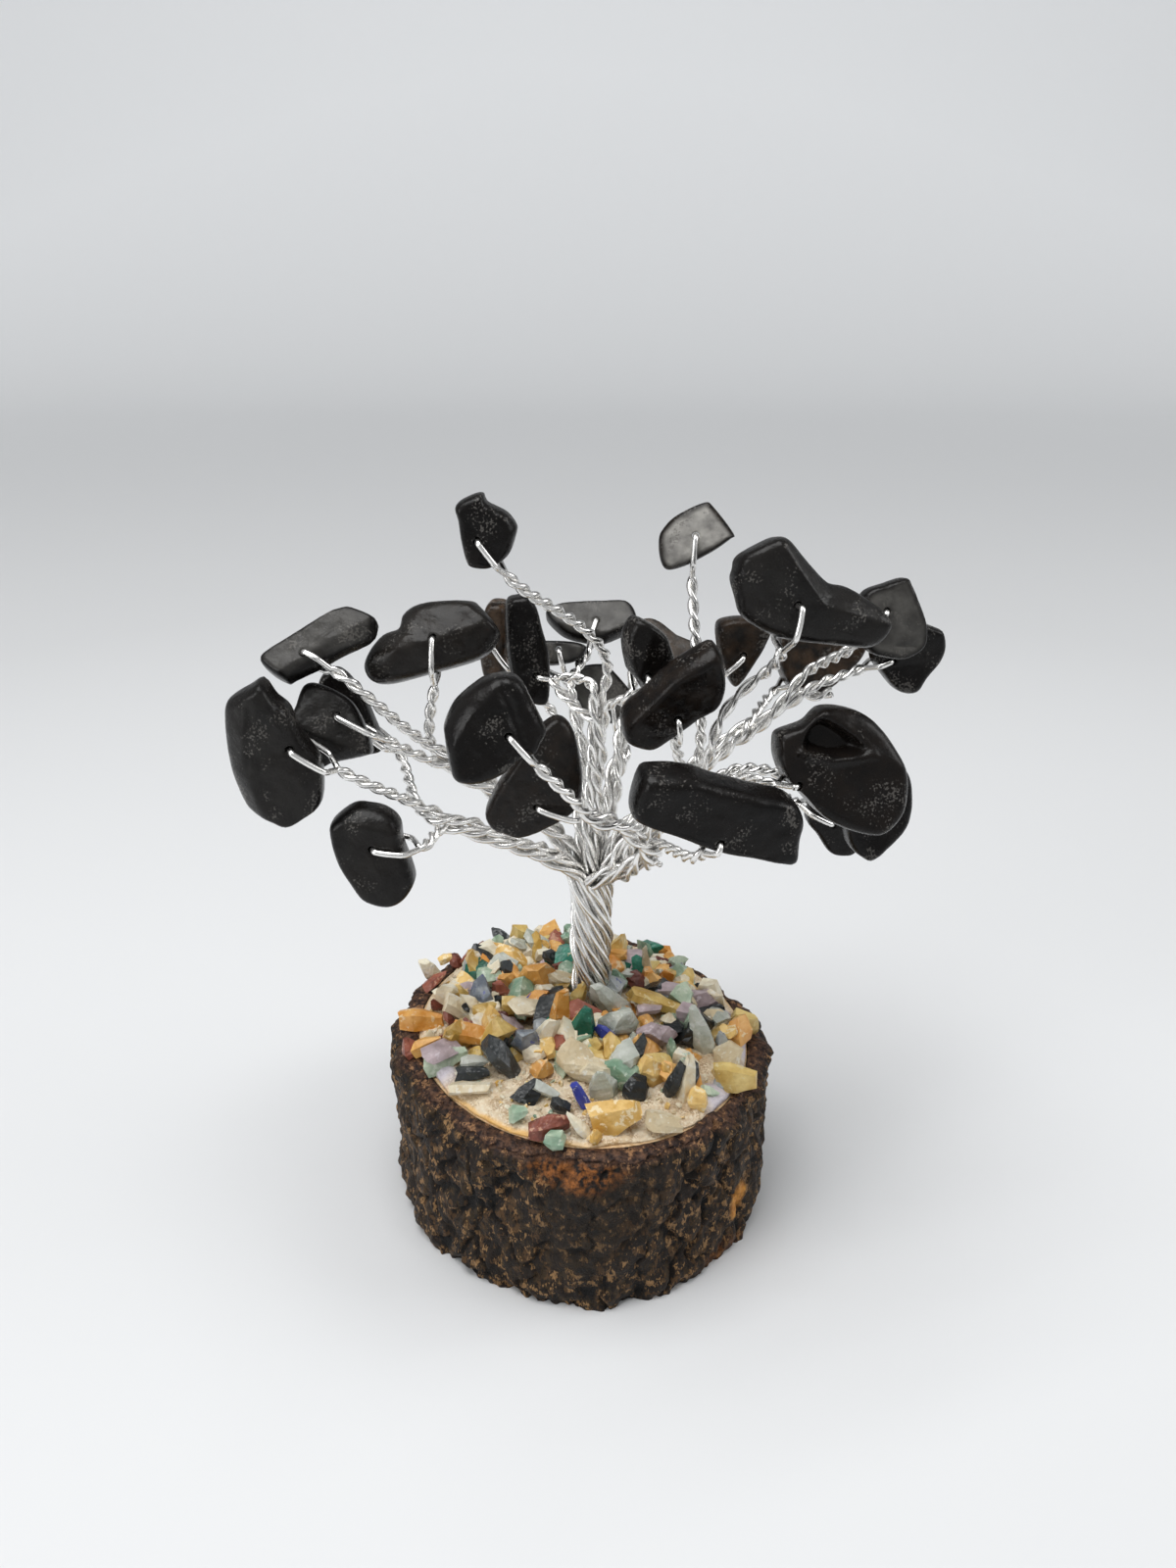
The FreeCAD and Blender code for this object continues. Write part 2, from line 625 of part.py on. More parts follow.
def wood_slice():
    """The slice of a branch, with the hole that the trunk stands in."""
    body = doc.addObject("PartDesign::Body", "WoodSlice")
    body.Label = "wood_slice"
    plane = next(p for p in body.Origin.OriginFeatures if p.Role == "XY_Plane")

    longer, shorter = sorted(("slice_length", "slice_width"), key=size, reverse=True)
    quarter = 0.0 if longer == "slice_length" else 90.0
    long_end = slice_rim(1.0, math.radians(quarter))
    short_end = slice_rim(1.0, math.radians(quarter + 90.0))
    outline = body.newObject("Sketcher::SketchObject", "SliceOutline")
    outline.AttachmentSupport = [(plane, "")]
    outline.MapMode = "FlatFace"
    oval = outline.addGeometry(Part.Ellipse(long_end, short_end, MIDDLE), False)
    outline.exposeInternalGeometry(oval)
    long_axis = oval + 1
    short_axis = oval + 2
    outline.addConstraint(Sketcher.Constraint("Coincident", oval, 3, -1, 1))
    for name, constraint, bound in (
        ("long", Sketcher.Constraint("Distance", long_axis, size(longer)), f"Sizes.{longer}"),
        ("short", Sketcher.Constraint("Distance", short_axis, size(shorter)), f"Sizes.{shorter}"),
        (
            "turn",
            Sketcher.Constraint("Angle", long_axis, math.radians(size("slice_turn") + quarter)),
            f"(Sizes.slice_turn + {quarter}) * 1 deg",
        ),
    ):
        number = outline.addConstraint(constraint)
        outline.renameConstraint(number, name)
        outline.setExpression(f"Constraints.{name}", bound)

    sawn = body.newObject("PartDesign::Pad", "SawnSlice")
    sawn.Profile = outline
    sawn.setExpression("Length", "Sizes.slice_height")
    doc.recompute()

    mouth = body.newObject("Sketcher::SketchObject", "SocketMouth")
    mouth.AttachmentSupport = [(plane, "")]
    mouth.MapMode = "FlatFace"
    mouth.setExpression(".AttachmentOffset.Base.z", "Sizes.slice_height")
    mouth.addGeometry(
        Part.Circle(Vector(size("trunk_right"), size("trunk_back"), 0), UP, socket_radius()), False
    )
    for name, constraint, bound in (
        ("right", Sketcher.Constraint("DistanceX", -1, 1, 0, 3, size("trunk_right")), "Sizes.trunk_right"),
        ("back", Sketcher.Constraint("DistanceY", -1, 1, 0, 3, size("trunk_back")), "Sizes.trunk_back"),
        ("radius", Sketcher.Constraint("Radius", 0, socket_radius()), SOCKET_RADIUS_BOUND),
    ):
        number = mouth.addConstraint(constraint)
        mouth.renameConstraint(number, name)
        mouth.setExpression(f"Constraints.{name}", bound)

    socket = body.newObject("PartDesign::Pocket", "Socket")
    socket.Profile = mouth
    socket.setExpression("Length", "Sizes.socket_depth")
    doc.recompute()
    return body


def bark_thickness(angle):
    """The bark's thickness at one angle round the slice, eased between the twelve shares."""
    count = len(BARK_THICKNESS_SHARES)
    place = (angle / (2 * math.pi) * count) % count
    before = int(place)
    ease = (1 - math.cos(math.pi * (place - before))) / 2
    share = BARK_THICKNESS_SHARES[before] * (1 - ease) + BARK_THICKNESS_SHARES[(before + 1) % count] * ease
    return share * size("bark_thickness")


def bark_ridge(column, layer):
    """The bark's surface at one place, as a share of its relief: plates with furrows between."""
    row = layer // PLATE_LAYERS
    shifted = (column + row % 2) % BARK_COLUMNS
    plate = PLATE_SHARE * wobble(shifted // PLATE_COLUMNS, row)
    grain = GRAIN_SHARE * wobble(column, layer)
    between = shifted % PLATE_COLUMNS == 0 and wobble(row, shifted) > FURROW_RARENESS
    return plate + grain + (FURROW_SHARE if between else 0.0)


def bark_ring():
    """The bark: ridges and plates outside, and the slice's oval inside."""
    fit_share = 1 / math.cos(math.pi / BARK_COLUMNS) + size("bark_gap") / slice_waist()
    rings = []
    for layer, (height_share, thick_share) in enumerate(BARK_LAYER_SHARES):
        ring = []
        for column in range(BARK_COLUMNS):
            rim = slice_rim(fit_share, 2 * math.pi * column / BARK_COLUMNS)
            thick = bark_thickness(math.atan2(rim.y, rim.x))
            ridge = size("bark_relief") * bark_ridge(column, layer)
            height = size("slice_height") * height_share
            if layer == len(BARK_LAYER_SHARES) - 1:
                height += size("bark_step") * wobble(column // PLATE_COLUMNS)
            out = thick * thick_share + max(ridge, -thick / 2)
            ring.append(rim + unit(rim) * out + UP * height)
        rings.append(ring)
    for height in (size("slice_height"), 0.0):
        inner = [slice_rim(fit_share, 2 * math.pi * i / BARK_COLUMNS) for i in range(BARK_COLUMNS)]
        rings.append([corner + UP * height for corner in inner])
    faces = []
    for lower, upper in zip(rings, rings[1:] + rings[:1]):
        faces += ring_walls(lower, upper, flat=False)
    feature = doc.addObject("Part::Feature", "BarkRing")
    feature.Label = "bark_ring"
    feature.Shape = closed_solid(faces)
    feature.Placement = FreeCAD.Placement(MIDDLE, FreeCAD.Rotation())
    return feature


def glue_ring(layer):
    """One layer of the glue bed's surface: corners over the slice's top."""
    outline_share, height_share = layer
    edge_share = 1 - size("glue_margin") / slice_waist()
    corners = []
    for i in range(GLUE_SIDES):
        rim = slice_rim(edge_share * outline_share, 2 * math.pi * i / GLUE_SIDES)
        corners.append(rim + UP * (height_share * size("glue_crown")))
    return corners


def glue_bed():
    """The set glue: a crowned bed with the gravel on it, and a sleeve round the trunk's foot."""
    bed = ring_solid([glue_ring(layer) for layer in GLUE_LAYER_SHARES])
    axis = Vector(size("trunk_right"), size("trunk_back"), 0)
    sleeve_radius = socket_radius() - size("glue_gap")
    bore_radius = sleeve_radius - size("socket_glue")
    floor = size("glue_gap") - size("socket_depth")
    sleeve = Part.makeCylinder(sleeve_radius, size("glue_crown") / 2 - floor, axis + UP * floor)
    bore = Part.makeCylinder(bore_radius, 2 * size("glue_crown") + size("socket_depth"), axis + UP * floor)
    feature = doc.addObject("Part::Feature", "GlueBed")
    feature.Label = "glue_bed"
    feature.Shape = bed.fuse(sleeve).cut(bore).removeSplitter()
    feature.Placement = FreeCAD.Placement(WOOD_TOP, FreeCAD.Rotation())
    return feature


# Gravel: chips in rows round the slice, each flat on the glue bed


def glue_facet(row_share, angle):
    """A corner and the outward direction of the glue bed's facet under one place of a row."""
    side = int(angle * GLUE_SIDES / (2 * math.pi)) % GLUE_SIDES
    layers = GLUE_LAYER_SHARES[2:] + ((0.0, 1.0),)
    outer, inner = next(pair for pair in zip(layers, layers[1:]) if pair[1][0] <= row_share <= pair[0][0])
    low = glue_ring(outer)
    high = glue_ring(inner)
    first = low[side]
    second = low[(side + 1) % GLUE_SIDES]
    return first, unit((second - first).cross(high[side] - first))


def gravel_chip(place, normal, along, height, number):
    """One crushed chip: an uneven foot, and a smaller top that is shifted and tilted."""
    along = unit(along - normal * along.dot(normal))
    across = normal.cross(along)
    half_length = size("gravel_length") / 2
    half_width = size("gravel_width") / 2
    lean = half_width * CHIP_LEAN_SHARE * wobble(number, 5)
    slope = CHIP_SLOPE_SHARE * wobble(number, 3)
    foot = []
    top = []
    for i in range(CHIP_CORNERS):
        turn = 2 * math.pi * (i + CHIP_STRAY_SHARE * wobble(number, i)) / CHIP_CORNERS + number
        far = varied(CHIP_FOOT_SHARES, number, i, 7)
        near = far * varied(CHIP_TOP_SHARES, i, number, 2)
        out = along * (half_length * math.cos(turn)) + across * (half_width * math.sin(turn))
        foot.append(place + out * far)
        rise = height + slope * out.dot(across) * near
        top.append(place + out * near + across * lean + normal * rise)
    return ring_solid([foot, top], flat=False)


def gravel():
    """All the chips, sorted by kind of stone: rows from the rim inwards, as full as they go."""
    chips = {kind: [] for kind in GRAVEL_KINDS}
    axis = Vector(size("trunk_right"), size("trunk_back"), 0)
    trunk_room = size("trunk_ring") + stems_reach() + size("gravel_length") / 2
    half_width = slice_waist() - size("glue_margin")
    edge_share = half_width / slice_waist()
    row_pitch = size("gravel_width") + size("gravel_apart")
    chip_pitch = size("gravel_length") + size("gravel_apart")
    number = 0
    for row in range(int(half_width / row_pitch)):
        row_share = 1 - (row + 0.5) * row_pitch / half_width
        height_share = 1 - (1 - RIM_HEIGHT_SHARE) * row_share * row_share
        count = int(2 * math.pi * half_width * row_share / chip_pitch)
        for i in range(count):
            angle = 2 * math.pi * (i + 0.5 * (row % 2)) / count
            rim = slice_rim(edge_share * row_share, angle)
            number += 1
            if (rim - axis).Length < trunk_room:
                continue
            corner, normal = glue_facet(row_share, angle)
            rise = (corner - rim).dot(normal) / normal.z
            place = rim + UP * rise + normal * size("gravel_gap")
            tall = size("gravel_height") * height_share * varied(CHIP_HEIGHT_SHARES, number, 9)
            kind = GRAVEL_KINDS[(number * 5 + row * 3) % len(GRAVEL_KINDS)]
            chips[kind].append(gravel_chip(place, normal, UP.cross(rim), tall, number))
    return chips


def solids_feature(label, solids, placement):
    """A sub-part of one or more separate solids."""
    feature = doc.addObject("Part::Feature", label.title().replace("_", ""))
    feature.Label = label
    feature.Shape = Part.makeCompound(solids)
    feature.Placement = placement
    return feature


def leaf_stone(number, leaf):
    """A leaf stone with its bore, turned and set in its place."""
    half_drill = f"Sizes.leaf_thickness * {leaf.thick_share}"
    blank = doc.addObject("Part::Feature", f"StoneBlank{number:02d}")
    blank.Label = f"stone_blank_{number:02d}"
    blank.Shape = stone_solid(leaf)
    drill = doc.addObject("Part::Cylinder", f"StoneDrill{number:02d}")
    drill.Label = f"stone_drill_{number:02d}"
    drill.setExpression("Radius", "Sizes.wire_width / 2 + Sizes.bore_gap")
    drill.setExpression("Height", f"2 * {half_drill}")
    drill.setExpression("Placement.Base.z", f"-{half_drill}")
    stone = doc.addObject("Part::Cut", f"LeafStone{number:02d}")
    stone.Label = f"leaf_stone_{number:02d}"
    stone.Base = blank
    stone.Tool = drill
    right, up, facing = stone_turn(leaf)
    turned = FreeCAD.Matrix(
        right.x, up.x, facing.x, 0,
        right.y, up.y, facing.y, 0,
        right.z, up.z, facing.z, 0,
        0, 0, 0, 1,
    )
    stone.Placement = FreeCAD.Placement(
        TRUNK_FOOT + bore_place(leaf), FreeCAD.Placement(turned).Rotation
    )
    return stone


# The whole tree

parts = [wood_slice(), bark_ring(), glue_bed()]
on_wood = FreeCAD.Placement(WOOD_TOP, FreeCAD.Rotation())
for kind, solids in gravel().items():
    parts.append(solids_feature(kind, solids, on_wood))

at_trunk = FreeCAD.Placement(TRUNK_FOOT, FreeCAD.Rotation())
stem_paths = {name: [stem_path(name, stem) for stem in range(STEMS)] for name in BOUGH_SHARES}
for name in BOUGH_SHARES:
    own_leaves = [leaf for leaf in LEAF_SHARES if leaf.bough == name]
    wires = []
    for stem, leaf in enumerate(own_leaves):
        path = stem_paths[name][stem][: fork_step(leaf.fork_share) + 1]
        wires.append(wire_solid(path, size("stem_width") / 2))
        wires.append(wire_solid(twig_path(leaf, stem_paths), size("wire_width") / 2))
    for cut_end in CUT_END_SHARES:
        if cut_end.bough == name:
            wires.append(wire_solid(cut_end_path(cut_end), size("wire_width") / 2))
    parts.append(solids_feature(name, wires, at_trunk))

for number, leaf in enumerate(LEAF_SHARES, start=1):
    parts.append(leaf_stone(number, leaf))

doc.recompute()

# Every object is sound before anything is written

for item in doc.Objects:
    if "Invalid" in item.State or "Error" in item.State:
        raise RuntimeError(f"{item.Label} failed: {item.State}")
for part in parts:
    if part.Shape.isNull() or not part.Shape.isValid():
        raise RuntimeError(f"{part.Label} has no sound shape")

os.makedirs("parts", exist_ok=True)
for part in parts:
    part.Shape.exportStep(f"parts/{part.Label}.step")
    box = part.Shape.BoundBox
    print(
        f"{part.Label}: {len(part.Shape.Solids)} solids, {part.Shape.Volume:.1f} mm3, "
        f"X {box.XMin:.1f} to {box.XMax:.1f}, Y {box.YMin:.1f} to {box.YMax:.1f}, "
        f"Z {box.ZMin:.1f} to {box.ZMax:.1f}"
    )
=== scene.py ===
# %% [markdown]
# A small tree of silver wire, with drilled black stone chips for leaves. It stands in crushed
# gemstone gravel, glued on a slice of a branch that still has its bark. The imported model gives
# the main places and sizes, and the picture the finer ones. This lesson dresses the tree piece
# by piece: wood, bark, glue, gravel, stones and wire, each a surface worked out with numpy.

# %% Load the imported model
import json
import math

import bpy
import numpy as np
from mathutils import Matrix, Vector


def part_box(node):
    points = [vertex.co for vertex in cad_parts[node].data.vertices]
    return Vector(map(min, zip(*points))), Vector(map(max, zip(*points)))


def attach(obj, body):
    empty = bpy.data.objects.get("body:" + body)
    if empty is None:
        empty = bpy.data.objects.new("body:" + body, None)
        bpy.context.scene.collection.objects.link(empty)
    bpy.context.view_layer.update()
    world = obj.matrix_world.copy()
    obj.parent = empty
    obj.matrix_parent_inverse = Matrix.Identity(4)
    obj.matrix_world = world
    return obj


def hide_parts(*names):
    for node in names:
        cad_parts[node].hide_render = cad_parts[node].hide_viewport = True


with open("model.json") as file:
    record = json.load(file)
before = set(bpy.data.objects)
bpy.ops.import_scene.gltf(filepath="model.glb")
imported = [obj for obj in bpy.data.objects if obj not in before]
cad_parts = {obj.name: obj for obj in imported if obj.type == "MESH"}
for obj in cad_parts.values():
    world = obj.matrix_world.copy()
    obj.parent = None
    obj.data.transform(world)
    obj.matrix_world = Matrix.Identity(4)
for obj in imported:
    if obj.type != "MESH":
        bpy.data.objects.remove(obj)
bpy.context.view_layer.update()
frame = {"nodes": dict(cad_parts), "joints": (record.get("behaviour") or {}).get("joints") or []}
scene = bpy.context.scene
scene.view_settings.view_transform = "Standard"

# %% [markdown]
# Lengths are written in millimetres and turned into Blender's metres when a mesh is made. The
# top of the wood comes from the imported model's box. A few small functions serve all steps.

# %% Sizes and small functions for the whole lesson
MM = 0.001
TREE = "tree"
WOOD_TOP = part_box("wood_slice")[1].z / MM
TRUNK_FOOT = np.array([1.5, 2.5, WOOD_TOP])
UP = np.array([0.0, 0.0, 1.0])
FULL_TURN = 2 * math.pi


def node_points(node):
    """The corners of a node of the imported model, in millimetres."""
    mesh = frame["nodes"][node].data
    points = np.zeros(len(mesh.vertices) * 3)
    mesh.vertices.foreach_get("co", points)
    return points.reshape(-1, 3) / MM


def directed(vectors):
    """Each vector divided by its length."""
    return vectors / np.linalg.norm(vectors, axis=-1, keepdims=True)


def climb(values, start, span):
    """0 up to the start, then evenly up to 1 at the end of the span."""
    return np.clip((values - start) / span, 0, 1)


def eased(share):
    """A share from 0 to 1 that starts and ends slowly: 3 share² - 2 share³."""
    return share * share * (3 - 2 * share)


def bell(gap, width):
    """A bell curve: 1 where the gap is none, and 0.37 where it is the width."""
    return np.exp(-((gap / width) ** 2))


def even_bearings(count):
    """So many bearings, spread evenly over a full turn."""
    return np.arange(count) * FULL_TURN / count


def way_at(bearing):
    """The level direction at each bearing."""
    return np.stack([np.cos(bearing), np.sin(bearing)], axis=-1)


def bearing_of(places):
    """The bearing of each place, from the middle."""
    return np.arctan2(places[..., 1], places[..., 0])


def with_height(places, height):
    """Level places as points in space, at one height or at a height each."""
    height = np.broadcast_to(height, places.shape[:-1])
    return np.concatenate([places, height[..., None]], axis=-1)


# %% [markdown]
# The camera comes first, because some places are read off the picture: a pixel is a direction
# from the camera, and where that direction meets a plane of the object is the place that was
# seen. The camera looks level along +Y and is then pitched down, with no roll and no shift.

# %% Camera, and the place that a pixel shows
CAMERA_PLACE = np.array([1.0, -153.5, 138.0])
CAMERA_PITCH = math.radians(25.4)
IMAGE_WIDTH = 1200
IMAGE_HEIGHT = 1600
FOCAL_PIXELS = 1300.0
SENSOR = 36.0
FORWARD = np.array([0.0, math.cos(CAMERA_PITCH), -math.sin(CAMERA_PITCH)])
UPWARD = np.array([0.0, math.sin(CAMERA_PITCH), math.cos(CAMERA_PITCH)])
RIGHTWARD = np.array([1.0, 0.0, 0.0])

camera_data = bpy.data.cameras.new("camera")
camera_data.sensor_width = SENSOR
camera_data.lens = SENSOR * FOCAL_PIXELS / IMAGE_HEIGHT
camera_data.clip_start = 0.01
camera = bpy.data.objects.new("camera", camera_data)
camera.location = CAMERA_PLACE * MM
camera.rotation_euler = (math.pi / 2 - CAMERA_PITCH, 0.0, 0.0)
scene.collection.objects.link(camera)
scene.camera = camera


def seen_on_plane(pixels, place, normal):
    """Where the camera sees these pixels on a plane: the sight line is forward, plus the pixel's
    offset from the middle over the focal length, and it is stretched until it meets the plane."""
    pixels = np.asarray(pixels, float)
    right = (pixels[..., 0:1] - IMAGE_WIDTH / 2) / FOCAL_PIXELS
    down = (pixels[..., 1:2] - IMAGE_HEIGHT / 2) / FOCAL_PIXELS
    lines = FORWARD + right * RIGHTWARD - down * UPWARD
    stretch = ((place - CAMERA_PLACE) @ normal) / (lines @ normal)
    return CAMERA_PLACE + lines * stretch[..., None]


def pixel_of(place):
    """The pixel at which the camera sees a place."""
    offset = place - CAMERA_PLACE
    depth = offset @ FORWARD
    across = IMAGE_WIDTH / 2 + FOCAL_PIXELS * (offset @ RIGHTWARD) / depth
    down = IMAGE_HEIGHT / 2 - FOCAL_PIXELS * (offset @ UPWARD) / depth
    return np.array([across, down])


# %% [markdown]
# Bark, stone and dust are uneven without an order, and still have to come out the same each
# time. A lattice of repeatable numbers, blended between its points, gives such a field for as
# many points at once as a mesh has, with no loop over them.

# %% Repeatable noise
PRIMES = (73856093, 19349663, 83492791, 39916801)
STIR = 0x2C1B3C6D
MASK = 0xFFFFFFFF


def lattice(cells, seed):
    """A number from 0 to 1 for each whole-numbered cell: its coordinates times large primes,
    folded together and stirred twice."""
    mixed = np.full(cells.shape[:-1], seed * PRIMES[3], np.int64)
    for axis in range(3):
        mixed = mixed ^ (cells[..., axis] * PRIMES[axis])
    mixed = mixed & MASK
    for _ in range(2):
        mixed = ((mixed ^ (mixed >> 15)) * STIR) & MASK
    return mixed / MASK


def noise(points, cell, seed):
    """Smooth noise from -1 to 1: the lattice's numbers at the eight corners of each point's
    cell, blended by an eased share of the way across it. The cell is in millimetres, and each
    use has a seed of its own."""
    place = points / cell
    low = np.floor(place).astype(np.int64)
    ease = eased(place - low)
    total = np.zeros(points.shape[:-1])
    for corner in np.ndindex(2, 2, 2):
        weight = np.where(corner, ease, 1 - ease).prod(axis=-1)
        total += weight * lattice(low + np.array(corner), seed)
    return 2 * total - 1


def rough(points, cell, seed, layers=3):
    """Noise with ever finer noise on top: each layer has half the cell and half the height."""
    return sum(noise(points, cell / 2**i, seed + i) / 2**i for i in range(layers))


# %% [markdown]
# Every surface here is a grid: rows and columns of points, joined by four-sided faces. One
# function joins many equal grids into one mesh, which is how a heap of chips or the wires of a
# bough become a single piece. Columns close on themselves. Rows close too on a drilled stone
# and on the bark, and on a tube or a chip the first and last ring get a flat face.

# %% From grids to pieces
def grid_faces(rows, columns, wrap_rows):
    """The corner numbers of each four-sided face between neighbouring points of a grid."""
    starts = np.arange(rows if wrap_rows else rows - 1)
    row, column = np.meshgrid(starts, np.arange(columns), indexing="ij")
    next_row = (row + 1) % rows
    next_column = (column + 1) % columns
    corners = (
        row * columns + column,
        row * columns + next_column,
        next_row * columns + next_column,
        next_row * columns + column,
    )
    return np.stack(corners, axis=-1).reshape(-1, 4)


def mesh_object(name, points, faces, smooth):
    """A new mesh object in the scene, from points in millimetres."""
    mesh = bpy.data.meshes.new(name)
    mesh.from_pydata((points.reshape(-1, 3) * MM).tolist(), [], faces)
    mesh.polygons.foreach_set("use_smooth", [smooth] * len(faces))
    mesh.update()
    made = bpy.data.objects.new(name, mesh)
    scene.collection.objects.link(made)
    return made


def grids_piece(name, grids, wrap_rows=False, smooth=True, numbers=None):
    """One mesh object from equal grids, an array of (grids, rows, columns, 3) in millimetres.
    numbers gives named values for all its points, which materials can read."""
    count, rows, columns, _ = grids.shape
    starts = np.arange(count).reshape(-1, 1, 1) * rows * columns
    faces = (starts + grid_faces(rows, columns, wrap_rows)).reshape(-1, 4).tolist()
    if not wrap_rows:
        ring = np.arange(columns)
        faces += (starts[:, 0] + ring[::-1]).tolist()
        faces += (starts[:, 0] + (rows - 1) * columns + ring).tolist()
    made = mesh_object(name, grids, faces, smooth)
    for label, values in (numbers or {}).items():
        attribute = made.data.attributes.new(label, "FLOAT", "POINT")
        attribute.data.foreach_set("value", np.asarray(values, np.float32).ravel())
    return made


def dress(piece, body, material, node):
    """Gives a finished piece its material and its body, and hides the imported solid that it
    stands for.
    """
    piece.data.materials.append(material)
    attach(piece, body)
    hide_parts(node)


# %% [markdown]
# Wires and outlines are smooth lines through a few chosen points. Between each two points runs
# the cubic curve that leaves in the direction of the neighbours' chord.

# %% Smooth lines
def line_through(points, per_span, closed=False):
    """A smooth line through points: on each span the cubic whose slope at either end is half
    the step from the point before to the point after."""
    if closed:
        before, here, after, beyond = (np.roll(points, step, axis=0) for step in (1, 0, -1, -2))
    else:
        padded = np.vstack([2 * points[0] - points[1], points, 2 * points[-1] - points[-2]])
        before, here, after, beyond = padded[:-3], padded[1:-2], padded[2:-1], padded[3:]
    share = (np.arange(per_span) / per_span)[None, :, None]
    before, here, after, beyond = (p[:, None, :] for p in (before, here, after, beyond))
    line = 0.5 * (
        2 * here
        + (after - before) * share
        + (2 * before - 5 * here + 4 * after - beyond) * share**2
        + (3 * here - before - 3 * after + beyond) * share**3
    )
    line = line.reshape(-1, points.shape[-1])
    return line if closed else np.vstack([line, points[-1]])


def run_along(path):
    """How far along a line each of its points is."""
    return np.concatenate([[0.0], np.cumsum(np.linalg.norm(np.diff(path, axis=0), axis=1))])


def even_steps(path, count):
    """The same line with so many points, spread evenly along it."""
    run = run_along(path)
    marks = np.linspace(0, run[-1], count)
    return np.column_stack([np.interp(marks, run, path[:, axis]) for axis in range(3)])


def carried_sides(paths):
    """Two directions square to each path at each of its points. The first turns no more than
    the path does: it is the last point's, less its part along the new direction. The second is
    square to both. It handles an array of (paths, points, 3) at once."""
    along = directed(np.gradient(paths, axis=1))
    carried = np.where(np.abs(along[:, 0, 2:3]) < 0.9, UP, RIGHTWARD)
    side = np.empty_like(paths)
    for step in range(paths.shape[1]):
        part = (carried * along[:, step]).sum(axis=-1, keepdims=True)
        carried = directed(carried - along[:, step] * part)
        side[:, step] = carried
    return side, np.cross(along, side)


def sides_of(line):
    """The two directions square to one line at each of its points."""
    side, across = carried_sides(line[None])
    return side[0], across[0]


def wound(side, across, turn):
    """The direction that a turning angle gives, from the side towards the across."""
    return np.cos(turn)[:, None] * side + np.sin(turn)[:, None] * across


def tubes(paths, radius, sides):
    """Round wires: at each point of each path a ring of the wire's radius, square to the path."""
    side, across = carried_sides(paths)
    ring = wound(side[:, :, None], across[:, :, None], even_bearings(sides))
    return paths[:, :, None, :] + radius * ring


# %% [markdown]
# Materials are built from nodes. Four effects are shared, so each is a node group: a cloud
# that drifts between two shades, specks that are rare or common, upright fibres that come in
# patches, and pits for a bump. Each reads Object coordinates and puts out one mask.

# %% Shader helpers
def add_node(tree, kind, inputs=None, **settings):
    """One shader node: its settings, then its inputs, each a plain value or another's socket."""
    made = tree.nodes.new("ShaderNode" + kind)
    for label, value in settings.items():
        setattr(made, label, value)
    for label, value in (inputs or {}).items():
        if isinstance(value, bpy.types.NodeSocket):
            tree.links.new(value, made.inputs[label])
        else:
            made.inputs[label].default_value = value
    return made


def maths(tree, operation, *values, **settings):
    """One calculation with shader values, each a plain number or a socket."""
    inputs = dict(enumerate(values))
    return add_node(tree, "Math", inputs, operation=operation, **settings).outputs[0]


def ranged(tree, value, low, high, to_low=0.0, to_high=1.0):
    """A value mapped evenly from one range to another, and held at its ends."""
    ends = {"From Min": low, "From Max": high, "To Min": to_low, "To Max": to_high}
    return add_node(tree, "MapRange", {"Value": value, **ends}).outputs["Result"]


def cells_per_metre(group, size):
    """The texture scale for a size in millimetres."""
    return maths(group, "DIVIDE", 1 / MM, size)


def noise_texture(group, place, size, detail, **more):
    """Shader noise from 0 to 1, whose cells have a size in millimetres."""
    inputs = {"Vector": place, "Scale": cells_per_metre(group, size), "Detail": detail, **more}
    return add_node(group, "TexNoise", inputs).outputs["Fac"]


def new_group(name, **inputs):
    """A group with its named numbers, Object coordinates to read and one mask to put out."""
    group = bpy.data.node_groups.new(name, "ShaderNodeTree")
    for label, value in inputs.items():
        socket = group.interface.new_socket(label, in_out="INPUT", socket_type="NodeSocketFloat")
        socket.default_value = value
    group.interface.new_socket("Mask", in_out="OUTPUT", socket_type="NodeSocketFloat")
    entry = group.nodes.new("NodeGroupInput").outputs
    leave = group.nodes.new("NodeGroupOutput").inputs["Mask"]
    place = add_node(group, "TexCoord").outputs["Object"]
    return group, entry, leave, place


# %% The four shared groups
SPECK_COMMON = 0.42
SPECK_EDGE = 0.05
FIBRE_FLATTEN = (1.0, 1.0, 0.38)
FIBRE_SWAY = 0.8
FIBRE_PATCHINESS = 1.35
FIBRE_EDGES = (0.73, 0.8)

cloud_group, entry, leave, place = new_group("cloud", Size=2.0, Contrast=1.0)
drift = maths(cloud_group, "ADD", noise_texture(cloud_group, place, entry["Size"], 5.0), -0.5)
spread = maths(cloud_group, "MULTIPLY", drift, entry["Contrast"])
cloud_group.links.new(maths(cloud_group, "ADD", spread, 0.5, use_clamp=True), leave)

speck_group, entry, leave, place = new_group("specks", Size=0.4, Share=0.3, Patch=3.0)
fine = noise_texture(speck_group, place, entry["Size"], 2.0)
patch = noise_texture(speck_group, place, entry["Patch"], 1.0)
both = maths(speck_group, "MULTIPLY", fine, patch)
edge = maths(speck_group, "SUBTRACT", SPECK_COMMON, entry["Share"])
far_edge = maths(speck_group, "ADD", edge, SPECK_EDGE)
speck_group.links.new(ranged(speck_group, both, edge, far_edge), leave)

